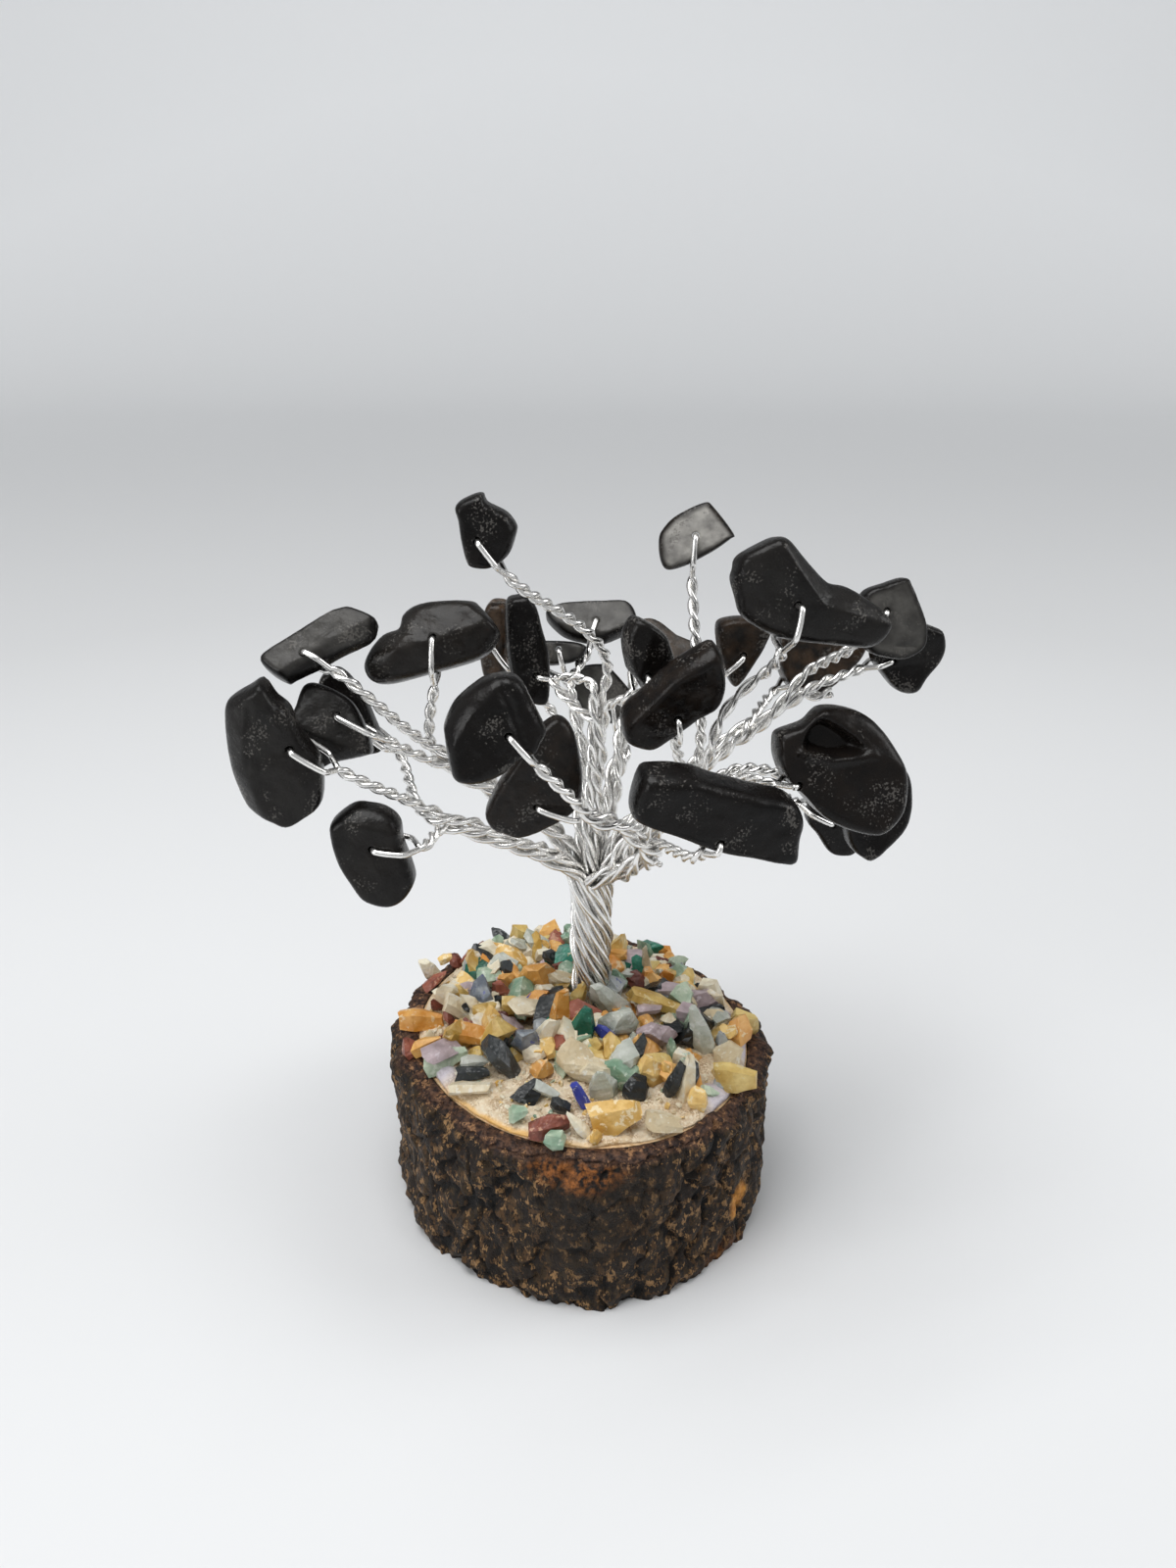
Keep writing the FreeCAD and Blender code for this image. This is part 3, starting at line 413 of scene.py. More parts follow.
fibre_group, entry, leave, place = new_group("fibres", Size=0.5, Share=0.3, Patch=3.0)
upright = add_node(fibre_group, "Mapping", {"Vector": place, "Scale": FIBRE_FLATTEN}).outputs[0]
strand = noise_texture(fibre_group, upright, entry["Size"], 3.0, Distortion=FIBRE_SWAY)
patch = maths(fibre_group, "ADD", noise_texture(fibre_group, place, entry["Patch"], 2.0), -0.5)
strands = maths(fibre_group, "MULTIPLY_ADD", patch, FIBRE_PATCHINESS, strand)
common = maths(fibre_group, "ADD", strands, entry["Share"])
fibre_group.links.new(ranged(fibre_group, common, *FIBRE_EDGES), leave)

pit_group, entry, leave, place = new_group("pits", Size=0.5, Softness=0.5)
wide = noise_texture(pit_group, place, entry["Size"], 6.0)
scale = cells_per_metre(pit_group, entry["Size"])
holes = add_node(pit_group, "TexVoronoi", {"Vector": place, "Scale": scale}).outputs["Distance"]
pitted = add_node(pit_group, "Mix", {"Factor": entry["Softness"], 2: holes, 3: wide})
pit_group.links.new(pitted.outputs[0], leave)
print("shared groups", len(bpy.data.node_groups))


# %% [markdown]
# A material starts from one shader. Colours are laid over each other by masks, which come from
# a shared group or from the numbers that a piece's points carry.

# %% Material helpers
def new_material(name, **plain):
    """A material with its one shader, whose plain values are set on its own sockets."""
    material = bpy.data.materials.new(name)
    material.use_nodes = True
    tree = material.node_tree
    shader = tree.nodes["Principled BSDF"]
    for label, value in plain.items():
        shader.inputs[label.replace("_", " ")].default_value = value
    return material, tree, shader.inputs


def connect(tree, sockets, **values):
    """Each value led to the shader's socket of that name."""
    for label, value in values.items():
        tree.links.new(value, sockets[label.replace("_", " ")])


def shared(tree, group, **numbers):
    """A shared group placed in a material with its own values."""
    made = tree.nodes.new("ShaderNodeGroup")
    made.node_tree = group
    for label, value in numbers.items():
        made.inputs[label].default_value = value
    return made.outputs["Mask"]


def point_number(tree, label):
    """The named value that a piece's points carry."""
    return add_node(tree, "Attribute", attribute_name=label).outputs["Fac"]


def blend_colours(tree, mask, first, second):
    """The first colour where the mask is 0, the second where it is 1."""
    made = add_node(tree, "Mix", {"Factor": mask}, data_type="RGBA")
    for socket, colour in ((made.inputs[6], first), (made.inputs[7], second)):
        if isinstance(colour, bpy.types.NodeSocket):
            tree.links.new(colour, socket)
        else:
            socket.default_value = (*colour, 1.0)
    return made.outputs[2]


def laid_over(tree, under, colour, mask, low=0.0, high=1.0, most=1.0):
    """A colour laid over another: not at all where the mask is low, and as strongly as most
    says where it is high."""
    return blend_colours(tree, ranged(tree, mask, low, high, 0.0, most), under, colour)


def bumped(tree, height, depth, before=None):
    """A normal that rises and falls with a mask, by a depth in millimetres."""
    inputs = {"Height": height, "Distance": depth * MM, "Strength": 1.0}
    if before is not None:
        inputs["Normal"] = before
    return add_node(tree, "Bump", inputs).outputs["Normal"]


# %% [markdown]
# The floor is a pale sweep that turns up into a wall behind the object, so that no horizon
# shows. Its far parts get little of the lamps' light, so they glow a little for the camera
# alone. One large soft lamp hangs over the object, a second fills from the front left, and a
# third, at the right, glints on the stones' right-hand facets. The world gives a little plain
# light from everywhere, and shows brighter in the wire's gloss and where a camera looks past
# the sweep.

# %% Floor, lamps and world
SWEEP_WIDTH = 3000.0
SWEEP_FRONT = -900.0
SWEEP_BACK = 700.0
SWEEP_RADIUS = 400.0
SWEEP_HEIGHT = 1800.0
FLOOR_COLOUR = (0.7, 0.71, 0.72, 1.0)
GLOW_COLOUR = (0.8, 0.82, 0.84, 1.0)
GLOW_FROM = 300.0
GLOW_FULL = 1080.0
WALL_GLOW = 0.48
WORLD_COLOUR = (0.88, 0.89, 0.9, 1.0)
WORLD_LIGHT = 0.24
WORLD_IN_GLOSS = 0.5
WORLD_SHOWN = 0.85
CROWN_MIDDLE = np.array([0.0, 0.0, 70.0])
LAMPS = {
    "overhead_lamp": ((-90.0, -50.0, 620.0), 460.0, 3.7),
    "front_lamp": ((-560.0, -380.0, 300.0), 320.0, 1.6),
    "right_lamp": ((520.0, 0.0, 350.0), 300.0, 0.95),
}

bend = np.linspace(0, math.pi / 2, 24)
curve = SWEEP_RADIUS * np.column_stack([np.sin(bend), 1 - np.cos(bend)]) + [SWEEP_BACK, 0.0]
wall_top = [[SWEEP_BACK + SWEEP_RADIUS, SWEEP_HEIGHT]]
profile = np.vstack([[[SWEEP_FRONT, 0.0]], curve, wall_top])
ends = np.array([[-SWEEP_WIDTH / 2, SWEEP_WIDTH / 2]])
sweep_points = np.stack(np.broadcast_arrays(ends, profile[:, 0:1], profile[:, 1:2]), axis=-1)
first = np.arange(len(profile) - 1) * 2
sweep_faces = np.column_stack([first, first + 1, first + 3, first + 2]).tolist()
sweep = mesh_object("sweep", sweep_points, sweep_faces, smooth=True)
sweep_material, tree, sockets = new_material("pale_floor", Roughness=0.75)
sockets["Base Color"].default_value = FLOOR_COLOUR
sockets["Emission Color"].default_value = GLOW_COLOUR
place = add_node(tree, "TexCoord").outputs["Object"]
far = add_node(tree, "VectorMath", {0: place}, operation="LENGTH").outputs["Value"]
seen = add_node(tree, "LightPath").outputs["Is Camera Ray"]
glow = ranged(tree, far, GLOW_FROM * MM, GLOW_FULL * MM, 0.0, WALL_GLOW)
connect(tree, sockets, Emission_Strength=maths(tree, "MULTIPLY", glow, seen))
sweep.data.materials.append(sweep_material)

for name, (lamp_place, lamp_size, power) in LAMPS.items():
    data = bpy.data.lights.new(name, "AREA")
    data.shape = "SQUARE"
    data.size = lamp_size * MM
    data.energy = power
    lamp = bpy.data.objects.new(name, data)
    lamp.location = np.array(lamp_place) * MM
    away = directed(np.array(lamp_place) - CROWN_MIDDLE)
    lamp.rotation_euler = (math.acos(away[2]), 0.0, math.atan2(away[1], away[0]) + math.pi / 2)
    scene.collection.objects.link(lamp)

world = bpy.data.worlds.new("plain_light")
world.use_nodes = True
tree = world.node_tree
rays = add_node(tree, "LightPath").outputs
strength = ranged(tree, rays["Is Glossy Ray"], 0.0, 1.0, WORLD_LIGHT, WORLD_IN_GLOSS)
shown = maths(tree, "MAXIMUM", rays["Is Camera Ray"], rays["Is Transmission Ray"])
strength = add_node(tree, "Mix", {"Factor": shown, 2: strength, 3: WORLD_SHOWN}).outputs[0]
background = tree.nodes["Background"].inputs
background["Color"].default_value = WORLD_COLOUR
connect(tree, background, Strength=strength)
scene.world = world
print("lamps", len(LAMPS))

# %% [markdown]
# The slice is an oval, sawn from a branch. Its long and short way and its turn are read from
# the wood's own points: the furthest one from the middle gives the long way.

# %% The slice's oval
wood_points = node_points("wood_slice")
wood_reach = np.linalg.norm(wood_points[:, :2], axis=1)
SLICE_LONG = wood_reach.max()
furthest = wood_points[wood_reach.argmax()]
SLICE_TURN = math.atan2(furthest[1], furthest[0])
ON_TOP = 0.01
RIM_FROM = 0.6
rim_reach = wood_reach[np.abs(wood_points[:, 2] - WOOD_TOP) < ON_TOP]
SLICE_SHORT = rim_reach[rim_reach > RIM_FROM * SLICE_LONG].min()
print("slice", round(2 * SLICE_LONG, 1), "x", round(2 * SLICE_SHORT, 1))


def oval(share, angle):
    """A point of the slice's oval, or of a smaller one like it: the long way times the angle's
    cosine and the short way times its sine, turned to where the long way points."""
    along = SLICE_LONG * share * np.cos(angle)
    across = SLICE_SHORT * share * np.sin(angle)
    right = along * math.cos(SLICE_TURN) - across * math.sin(SLICE_TURN)
    back = along * math.sin(SLICE_TURN) + across * math.cos(SLICE_TURN)
    return np.stack([right, back], axis=-1)


def oval_share(places):
    """How far out each place is: 0 at the middle of the slice and 1 at the oval."""
    right = places[..., 0]
    back = places[..., 1]
    along = right * math.cos(SLICE_TURN) + back * math.sin(SLICE_TURN)
    across = back * math.cos(SLICE_TURN) - right * math.sin(SLICE_TURN)
    return np.hypot(along / SLICE_LONG, across / SLICE_SHORT)


# %% [markdown]
# The sawn wood is pale tan, with darker growth rings round a pith that is off the middle. The
# rings are bands of the distance from the pith, which noise bends a little.

# %% Sawn wood
PITH_SHIFT = (4.0 * MM, -3.0 * MM, 0.0)
RING_SCALE = 190.0
WOBBLE_SCALE = 90.0
WOBBLE_SHARE = 0.03
PALE_WOOD = (0.62, 0.42, 0.22)
RING_WOOD = (0.42, 0.24, 0.1)
FIBRE_WOOD = (0.7, 0.52, 0.32)

wood_material, tree, sockets = new_material("sawn_wood", Roughness=0.62)
place = add_node(tree, "TexCoord").outputs["Object"]
centred = add_node(tree, "Mapping", {"Vector": place, "Location": PITH_SHIFT}).outputs[0]
wobble = add_node(tree, "TexNoise", {"Vector": centred, "Scale": WOBBLE_SCALE, "Detail": 3.0})
mixed = {"Fac": WOBBLE_SHARE, "Color1": centred, "Color2": wobble.outputs["Color"]}
bent = add_node(tree, "MixRGB", mixed, blend_type="LINEAR_LIGHT").outputs[0]
waves = {"Vector": bent, "Scale": RING_SCALE, "Distortion": 1.2, "Detail": 3.0}
rings = add_node(tree, "TexWave", waves, wave_type="RINGS", rings_direction="Z").outputs["Fac"]
wood_colour = blend_colours(tree, rings, PALE_WOOD, RING_WOOD)
fibres = shared(tree, cloud_group, Size=0.5, Contrast=2.2)
wood_colour = blend_colours(tree, fibres, wood_colour, FIBRE_WOOD)
connect(tree, sockets, Base_Color=wood_colour, Normal=bumped(tree, rings, depth=0.05))
wood = frame["nodes"]["wood_slice"]
wood.data.materials.clear()
wood.data.materials.append(wood_material)

# %% [markdown]
# Bark is the hardest surface here. Its main form, the bulging foot, the plates and the furrows,
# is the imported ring's, which is read off that ring's own points and eased between them. The
# finer relief is added to it: cracks between smaller plates, which are cells round scattered
# points, upright fibres, flakes and knobs, and a few forms of this very slice. These are the
# smooth plates at the front under a rusty hollow, and a lump that stands over the rim. The
# section runs up the outside, over the sawn rim and down against the wood, so the ring is
# closed. A spot is a bearing, a height, and how far it reaches round and up.

# %% The bark's shape
BARK_COLUMNS = 620
OUTER_ROWS = 84
RIM_ROWS = 14
INNER_ROWS = 14
INNER_SHARE = 1.004
OVER_RIM = (0.06, 0.94)
RING_SHARES = (0.0, 0.09, 0.25, 0.44, 0.63, 0.82, 0.94, 1.0)
LAYER_BAND = 0.9
LAYER_SMOOTHING = 3
BARK_PLATES = 130
BARK_SEED = 11
PLATE_STRETCH = 0.5
PLATE_WARP = 1.5
PLATE_MARGIN = 3.0
CRACK_WIDTH = 0.7
FIBRE_STRETCH = (1.0, 1.0, 0.3)
FLAKE_STRETCH = (1.0, 1.0, 0.55)
RELIEF_HEIGHTS = (0.38, 0.2, 0.32, 0.34)
RAISED_SHARES = (0.5, 0.5, 0.6, 0.4)
SMOOTHED_SHARES = (0.5, 0.3, 0.6, 0.0)
SMOOTH_STRENGTH = 2.4
SMOOTH_RISE = 0.45
HOLLOW_DEPTH = 0.55
HOLLOW_RUST = 1.3
FOOT_RUST = 0.5
LEAST_BARK = 0.45
RIM_BAND = 1.7
RIM_ROUND = 0.45
RIM_ROUGHNESS = 0.3
RIM_LUMP_RISE = 0.9
RIM_CROWN = 0.25
RIM_SLOPE = 0.55
RIM_POWER = 14
SMOOTH_PLATES = ((-1.57, 15.0, 0.17, 8.0), (-1.29, 18.5, 0.13, 5.2))
RUSTY_HOLLOW = (-1.6, 23.4, 0.21, 2.2)
ORANGE_PATCH = (-0.66, 8.6, 0.08, 3.4)
TAN_FOOT = (-0.75, 1.0, 0.22, 2.4)
RIM_LUMP = (-0.85, 24.5, 0.1, 3.4)

bark_points = node_points("bark_ring")
bark_bearing = bearing_of(bark_points)
bark_reach = np.linalg.norm(bark_points[:, :2], axis=1)


def layer_reach(share, bearings):
    """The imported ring's outer reach at one of its layers: of its points near that height, the
    furthest out at each bearing, joined in order round the slice."""
    near = np.abs(bark_points[:, 2] - share * WOOD_TOP) < LAYER_BAND
    turns, place = np.unique(np.round(bark_bearing[near], 3), return_inverse=True)
    reach = np.zeros(len(turns))
    np.maximum.at(reach, place, bark_reach[near])
    return np.interp(bearings, turns, reach, period=FULL_TURN)


def smooth_round(values, width):
    """A ring of values averaged over so many neighbours each way, by shifting it round."""
    return sum(np.roll(values, k) for k in range(-width, width + 1)) / (2 * width + 1)


def ring_form(bearings, shares):
    """The ring's reach for a row of bearings and a column of heights: each layer smoothed round
    the slice, and eased from layer to layer."""
    layers = [smooth_round(layer_reach(share, bearings), LAYER_SMOOTHING) for share in RING_SHARES]
    layers = np.array(layers)
    place = np.interp(shares, RING_SHARES, np.arange(len(RING_SHARES)))
    below = np.minimum(place.astype(int), len(RING_SHARES) - 2)
    ease = eased(place - below)[:, None]
    return layers[below] * (1 - ease) + layers[below + 1] * ease


def spot(bearings, heights, place):
    """A soft spot on the bark, 1 at its middle: a bell curve over bearing and height."""
    bearing, height, wide, tall = place
    return np.exp(-(((bearings - bearing) / wide) ** 2) - ((heights - height) / tall) ** 2)


def plate_relief(angles, heights):
    """The bark's cracks, from -1 in a crack to 1 on a plate, for a grid of angles and heights:
    second nearest less nearest distance to the plates' middles, in the unrolled bark."""
    spread = np.random.default_rng(BARK_SEED)
    reach = (SLICE_LONG + SLICE_SHORT) / 2
    round_way = spread.uniform(0, FULL_TURN * reach, BARK_PLATES)
    up_way = spread.uniform(-PLATE_MARGIN, WOOD_TOP + PLATE_MARGIN, BARK_PLATES) * PLATE_STRETCH
    around = (angles % FULL_TURN) * reach
    unrolled = np.stack([around, heights, heights * 0], axis=-1)
    warp = PLATE_WARP * noise(unrolled, cell=2.4, seed=5)
    nearest, second = np.full((2, *angles.shape), np.inf)
    for plate_round, plate_up in zip(round_way, up_way):
        gap = np.abs(around + warp - plate_round)
        gap = np.minimum(gap, FULL_TURN * reach - gap)
        distance = np.hypot(gap, (heights + warp) * PLATE_STRETCH - plate_up)
        second = np.minimum(second, np.maximum(nearest, distance))
        nearest = np.minimum(nearest, distance)
    return 2 * climb(second - nearest, 0, CRACK_WIDTH) - 1


# %% The bark's grid
def bark_grid():
    """The whole ring: its points, and for the colours how raised each is, how near the sawn rim,
    how smooth a plate it is on, and how rusty or orange."""
    up_shares = np.linspace(0, 1, OUTER_ROWS)
    height = np.concatenate([up_shares, np.ones(RIM_ROWS), np.linspace(1, 0, INNER_ROWS)])
    over_rim = np.linspace(*OVER_RIM, RIM_ROWS)
    across = np.concatenate([up_shares * 0, over_rim, np.ones(INNER_ROWS)])
    height, turn = np.meshgrid(height, even_bearings(BARK_COLUMNS), indexing="ij")
    across = across[:, None]
    inner = oval(INNER_SHARE, turn)
    inner_reach = np.linalg.norm(inner, axis=-1)
    bearing = bearing_of(inner)
    level = height * WOOD_TOP
    smooth = sum(spot(bearing, level, plate) for plate in SMOOTH_PLATES)
    smooth = np.clip(smooth * SMOOTH_STRENGTH, 0, 1)
    hollow = spot(bearing, level, RUSTY_HOLLOW)
    lump = spot(bearing, level, RIM_LUMP)
    surface = with_height(inner, level)
    relief = (
        plate_relief(bearing, level),
        noise(surface * FIBRE_STRETCH, cell=0.5, seed=21),
        noise(surface * FLAKE_STRETCH, cell=1.0, seed=25),
        rough(surface, cell=2.6, seed=31),
    )
    relief = [part * (1 - share * smooth) for part, share in zip(relief, SMOOTHED_SHARES)]
    out = sum(tall * part for tall, part in zip(RELIEF_HEIGHTS, relief))
    out = out + lump + SMOOTH_RISE * smooth - HOLLOW_DEPTH * hollow
    reach = ring_form(bearing[0], height[:, 0]) + out
    reach = np.maximum(reach, inner_reach + LEAST_BARK)
    rim = 1 - climb(WOOD_TOP - level, 0, RIM_BAND)
    reach = reach - RIM_ROUND * rim**2 * (across == 0)
    reach = reach * (1 - across) + inner_reach * across
    rim_rise = RIM_ROUGHNESS * rough(surface, cell=1.4, seed=41) + RIM_LUMP_RISE * lump
    rim_rise = rim_rise + RIM_CROWN * np.sin(math.pi * across)
    slope = RIM_SLOPE * (1 - across)
    sawn = (height == 1) * (across > 0) * (across < 1)
    outer_edge = (across == 0) * height**RIM_POWER
    level_out = level + (rim_rise - slope) * sawn + (0.5 * rim_rise - slope) * outer_edge
    raised = sum(share * part for share, part in zip(RAISED_SHARES, relief))
    rusty = HOLLOW_RUST * hollow + FOOT_RUST * spot(bearing, level_out, TAN_FOOT)
    numbers = {
        "raised": np.clip(raised, -1, 1),
        "rim": np.clip(rim * (1 - across) + sawn, 0, 1),
        "smooth": smooth,
        "rusty": np.clip(rusty, 0, 1),
        "orange": spot(bearing, level_out, ORANGE_PATCH),
    }
    return with_height(directed(inner) * reach[..., None], level_out)[None], numbers


bark_points_grid, bark_numbers = bark_grid()
bark = grids_piece("bark", bark_points_grid, wrap_rows=True, numbers=bark_numbers)
print("bark", len(bark.data.polygons), "faces")

# %% [markdown]
# The bark is nearly black in its cracks, partly its own colour and partly painted shade: the
# lower the relief, the darker the colour, and the fine upright fibres over it in ochre, olive
# and tan are laid only on the raised parts. The rust is painted darker in the cracks as shade
# too. The front plates are smoother and dark brown, the hollow above them is rusty, and one
# patch at the right shows orange inner bark. The sawn rim is a narrow band of dark purple
# brown.

# %% The bark's colours
# The first colour is the cracks' near black, partly painted shade.
CRACK_SHADE_COLOURS = ((0.0018, 0.0013, 0.0011), (0.017, 0.01, 0.0058))
PLATE_COLOURS = ((0.005, 0.0035, 0.0025), (0.034, 0.02, 0.009))
RUST_COLOURS = ((0.012, 0.006, 0.004), (0.27, 0.095, 0.022))
# Rust in the cracks, darkened as painted shade.
RUST_CRACK_SHADE = (0.004, 0.003, 0.002)
ORANGE_COLOURS = ((0.42, 0.17, 0.035), (0.62, 0.29, 0.055))
SAWN_COLOURS = ((0.016, 0.008, 0.007), (0.115, 0.058, 0.034))
SAWN_FIBRE = (0.34, 0.18, 0.085)
BARK_FIBRES = (
    (0.8, 0.155, 1.9, 0.75, (0.042, 0.025, 0.01)),
    (0.46, 0.135, 1.7, 0.85, (0.088, 0.046, 0.018)),
    (0.3, 0.085, 1.4, 0.95, (0.29, 0.165, 0.07)),
)

bark_material, tree, sockets = new_material("bark", Roughness=0.6, Specular_IOR_Level=0.25)
raised = point_number(tree, "raised")
# Painted shade: the colour runs from near black where the relief is low to brown where it is high,
# and the fibres lie only on the raised parts.
proud = ranged(tree, raised, low=-0.6, high=0.1)
shade = blend_colours(tree, ranged(tree, raised, low=-0.6, high=1.0), *CRACK_SHADE_COLOURS)
for strand_size, share, patch_size, most, fibre_colour in BARK_FIBRES:
    straw = shared(tree, fibre_group, Size=strand_size, Share=share, Patch=patch_size)
    on_top = maths(tree, "MULTIPLY", straw, proud)
    shade = laid_over(tree, shade, fibre_colour, on_top, most=most)
plate_cloud = shared(tree, cloud_group, Size=1.4, Contrast=3.0)
plate = blend_colours(tree, plate_cloud, *PLATE_COLOURS)
shade = laid_over(tree, shade, plate, point_number(tree, "smooth"), low=0.35, most=0.55)
rust_cloud = shared(tree, cloud_group, Size=0.8, Contrast=4.5)
rust = blend_colours(tree, rust_cloud, *RUST_COLOURS)
# Painted shade: the rust goes darker in the cracks.
rust = laid_over(tree, rust, RUST_CRACK_SHADE, raised, low=-0.1, high=-0.6)
shade = laid_over(tree, shade, rust, point_number(tree, "rusty"), low=0.15, high=0.75)
orange = blend_colours(tree, rust_cloud, *ORANGE_COLOURS)
shade = laid_over(tree, shade, orange, point_number(tree, "orange"), low=0.3, high=0.55)
rim_cloud = shared(tree, cloud_group, Size=0.7, Contrast=4.0)
sawn = blend_colours(tree, rim_cloud, *SAWN_COLOURS)
sawn = laid_over(tree, sawn, SAWN_FIBRE, straw, most=0.8)
shade = laid_over(tree, shade, sawn, point_number(tree, "rim"), low=0.35, high=0.8)
felt = bumped(tree, shared(tree, fibre_group, Size=0.35, Share=0.24, Patch=1.5), depth=0.12)
pits = bumped(tree, shared(tree, pit_group, Size=0.35, Softness=0.7), depth=0.18, before=felt)
connect(tree, sockets, Base_Color=shade, Normal=pits)
dress(bark, TREE, bark_material, "bark_ring")

# %% [markdown]
# The glue was poured round the trunk, and stone dust fell into it. It lies highest in the
# middle and reaches the bark in an uneven, rounded edge. At the front left the edge is thin and
# clear, so it glows amber over the wood, and where it ran against the bark at the left and the
# right it set clear, with a lilac sheen. Rows go from underneath round the edge to the middle.

# %% The glue bed
GLUE_COLUMNS = 260
GLUE_ROWS = 90
GLUE_START = 0.02
GLUE_EDGE_OUT = (1.004, 1.0, 0.6)
GLUE_EDGE_LOW = (0.5, 1.0, 1.0)
GLUE_EDGE_BAND = 0.03
GLUE_EDGE_LEAST = 0.35
GLUE_SINK = 0.02
GLUE_CROWN = 3.2
GLUE_SHARES = ((0.0, 1.0), (0.35, 1.0), (0.7, 0.66), (0.97, 0.28), (1.0, 0.2))
GLUE_SWELL = 0.35
GLUE_EDGE = 0.988
GLUE_EDGE_STRAY = 0.01
STRAY_RING = 9.0
GRIT_HEIGHT = 0.16
FINE_GRIT_HEIGHT = 0.1
CLEAR_RUNS = ((-2.66, 0.16), (-0.72, 0.12), (-0.22, 0.14))
CLEAR_FROM = 0.86
CLEAR_SPAN = 0.06
CLEAR_RISE = 0.7
CLEAR_SMOOTHING = 0.8
AMBER_RUN = (-2.0, 0.55)
AMBER_FROM = 0.97
AMBER_SPAN = 0.018
AMBER_STRAY = 0.01


def by_share(table, places):
    """What a table of shares and values says for how far out each place is on the slice."""
    shares, values = np.array(table).T
    return np.interp(oval_share(places), shares, values)


def glue_height(places):
    """The height of the glue over the wood: its crown, with gentle swells."""
    swell = GLUE_SWELL * rough(with_height(places, 0.0), cell=4.0, seed=61)
    return GLUE_CROWN * by_share(GLUE_SHARES, places) + swell


def glue_grid():
    """The bed's skin, and for the colours how amber and how clear it is."""
    out = np.concatenate([np.linspace(GLUE_START, 1, GLUE_ROWS), GLUE_EDGE_OUT])
    low = np.concatenate([np.zeros(GLUE_ROWS), GLUE_EDGE_LOW])[:, None]
    out, angles = np.meshgrid(out, even_bearings(GLUE_COLUMNS), indexing="ij")
    rim = oval(1.0, angles)
    bearing = bearing_of(rim)
    ring = with_height(STRAY_RING * way_at(angles), 0.0)
    edge = GLUE_EDGE + GLUE_EDGE_STRAY * rough(ring, cell=1.5, seed=71)
    places = rim * (edge * out)[..., None]
    height = glue_height(places) * np.clip((1 - out) / GLUE_EDGE_BAND, GLUE_EDGE_LEAST, 1) ** 0.5
    clear = sum(bell(bearing - turn, wide) for turn, wide in CLEAR_RUNS)
    clear = np.clip(clear, 0, 1) * climb(out, CLEAR_FROM, CLEAR_SPAN)
    flat = with_height(places, 0.0)
    grit = GRIT_HEIGHT * rough(flat, cell=0.9, seed=81)
    grit = grit + FINE_GRIT_HEIGHT * noise(flat, cell=0.45, seed=85)
    height = height + grit * (1 - CLEAR_SMOOTHING * clear) + CLEAR_RISE * clear
    level = WOOD_TOP + height * (1 - low) - GLUE_SINK * low
    amber = bell(bearing - AMBER_RUN[0], AMBER_RUN[1])
    stray = AMBER_STRAY * rough(ring, cell=1.2, seed=75)
    amber = amber * climb(out - AMBER_FROM - stray, 0, AMBER_SPAN)
    skin = with_height(places, level)
    return skin[None, ::-1], {"amber": amber[::-1], "clear": clear[::-1]}


glue_points, glue_numbers = glue_grid()
glue = grids_piece("glue", glue_points, numbers=glue_numbers)
print("glue", len(glue.data.polygons), "faces")

# %% The glue's colours
MILKY_COLOURS = ((0.6, 0.45, 0.28), (0.78, 0.66, 0.48))
SAND_COLOUR = (0.84, 0.76, 0.6)
GRIT_COLOUR = (0.4, 0.27, 0.15)
AMBER_COLOUR = (0.82, 0.46, 0.1)
LILAC_COLOUR = (0.6, 0.57, 0.66)

glue_material, tree, sockets = new_material(
    "set_glue", Roughness=0.45, Coat_Weight=0.25, Coat_Roughness=0.2
)
milky = blend_colours(tree, shared(tree, cloud_group, Size=2.4, Contrast=3.0), *MILKY_COLOURS)
sandy = shared(tree, cloud_group, Size=0.45, Contrast=4.0)
milky = laid_over(tree, milky, SAND_COLOUR, sandy, low=0.4, most=0.7)
grit = shared(tree, speck_group, Size=0.26, Share=0.13, Patch=2.0)
milky = laid_over(tree, milky, GRIT_COLOUR, grit, most=0.8)
amber = point_number(tree, "amber")
clear = point_number(tree, "clear")
milky = laid_over(tree, milky, AMBER_COLOUR, amber, low=0.1, most=0.85)
milky = laid_over(tree, milky, LILAC_COLOUR, clear, low=0.2, high=0.8, most=0.85)
pits = bumped(tree, shared(tree, pit_group, Size=0.5, Softness=0.5), depth=0.2)
connect(tree, sockets, Base_Color=milky, Normal=pits)
dress(glue, TREE, glue_material, "glue_bed")

# %% [markdown]
# Crushed stone is sharp: slabs, wedges and spikes with flat faces. A shard is a few uneven
# polygons, one above the other. They share their corners' bearings, so the faces between them
# are flat and the edges run straight, and they narrow unevenly towards a leaning tip. All
# shards of a size are worked out in one array.

# %% The shape of a crushed shard
RING_STRAY = 0.16
CORNER_STRAY = 0.34
WIDTH_STRAY = (0.88, 1.06)
CORNER_REACH = (0.6, 1.0)
FOOT_WIDTH = (0.55, 1.0)
TIP_WIDTH = (0.12, 0.8)
FOOT_SPAN = 0.6
TIP_FROM = -0.4
TIP_POWER = 1.3
LEAN = 0.4


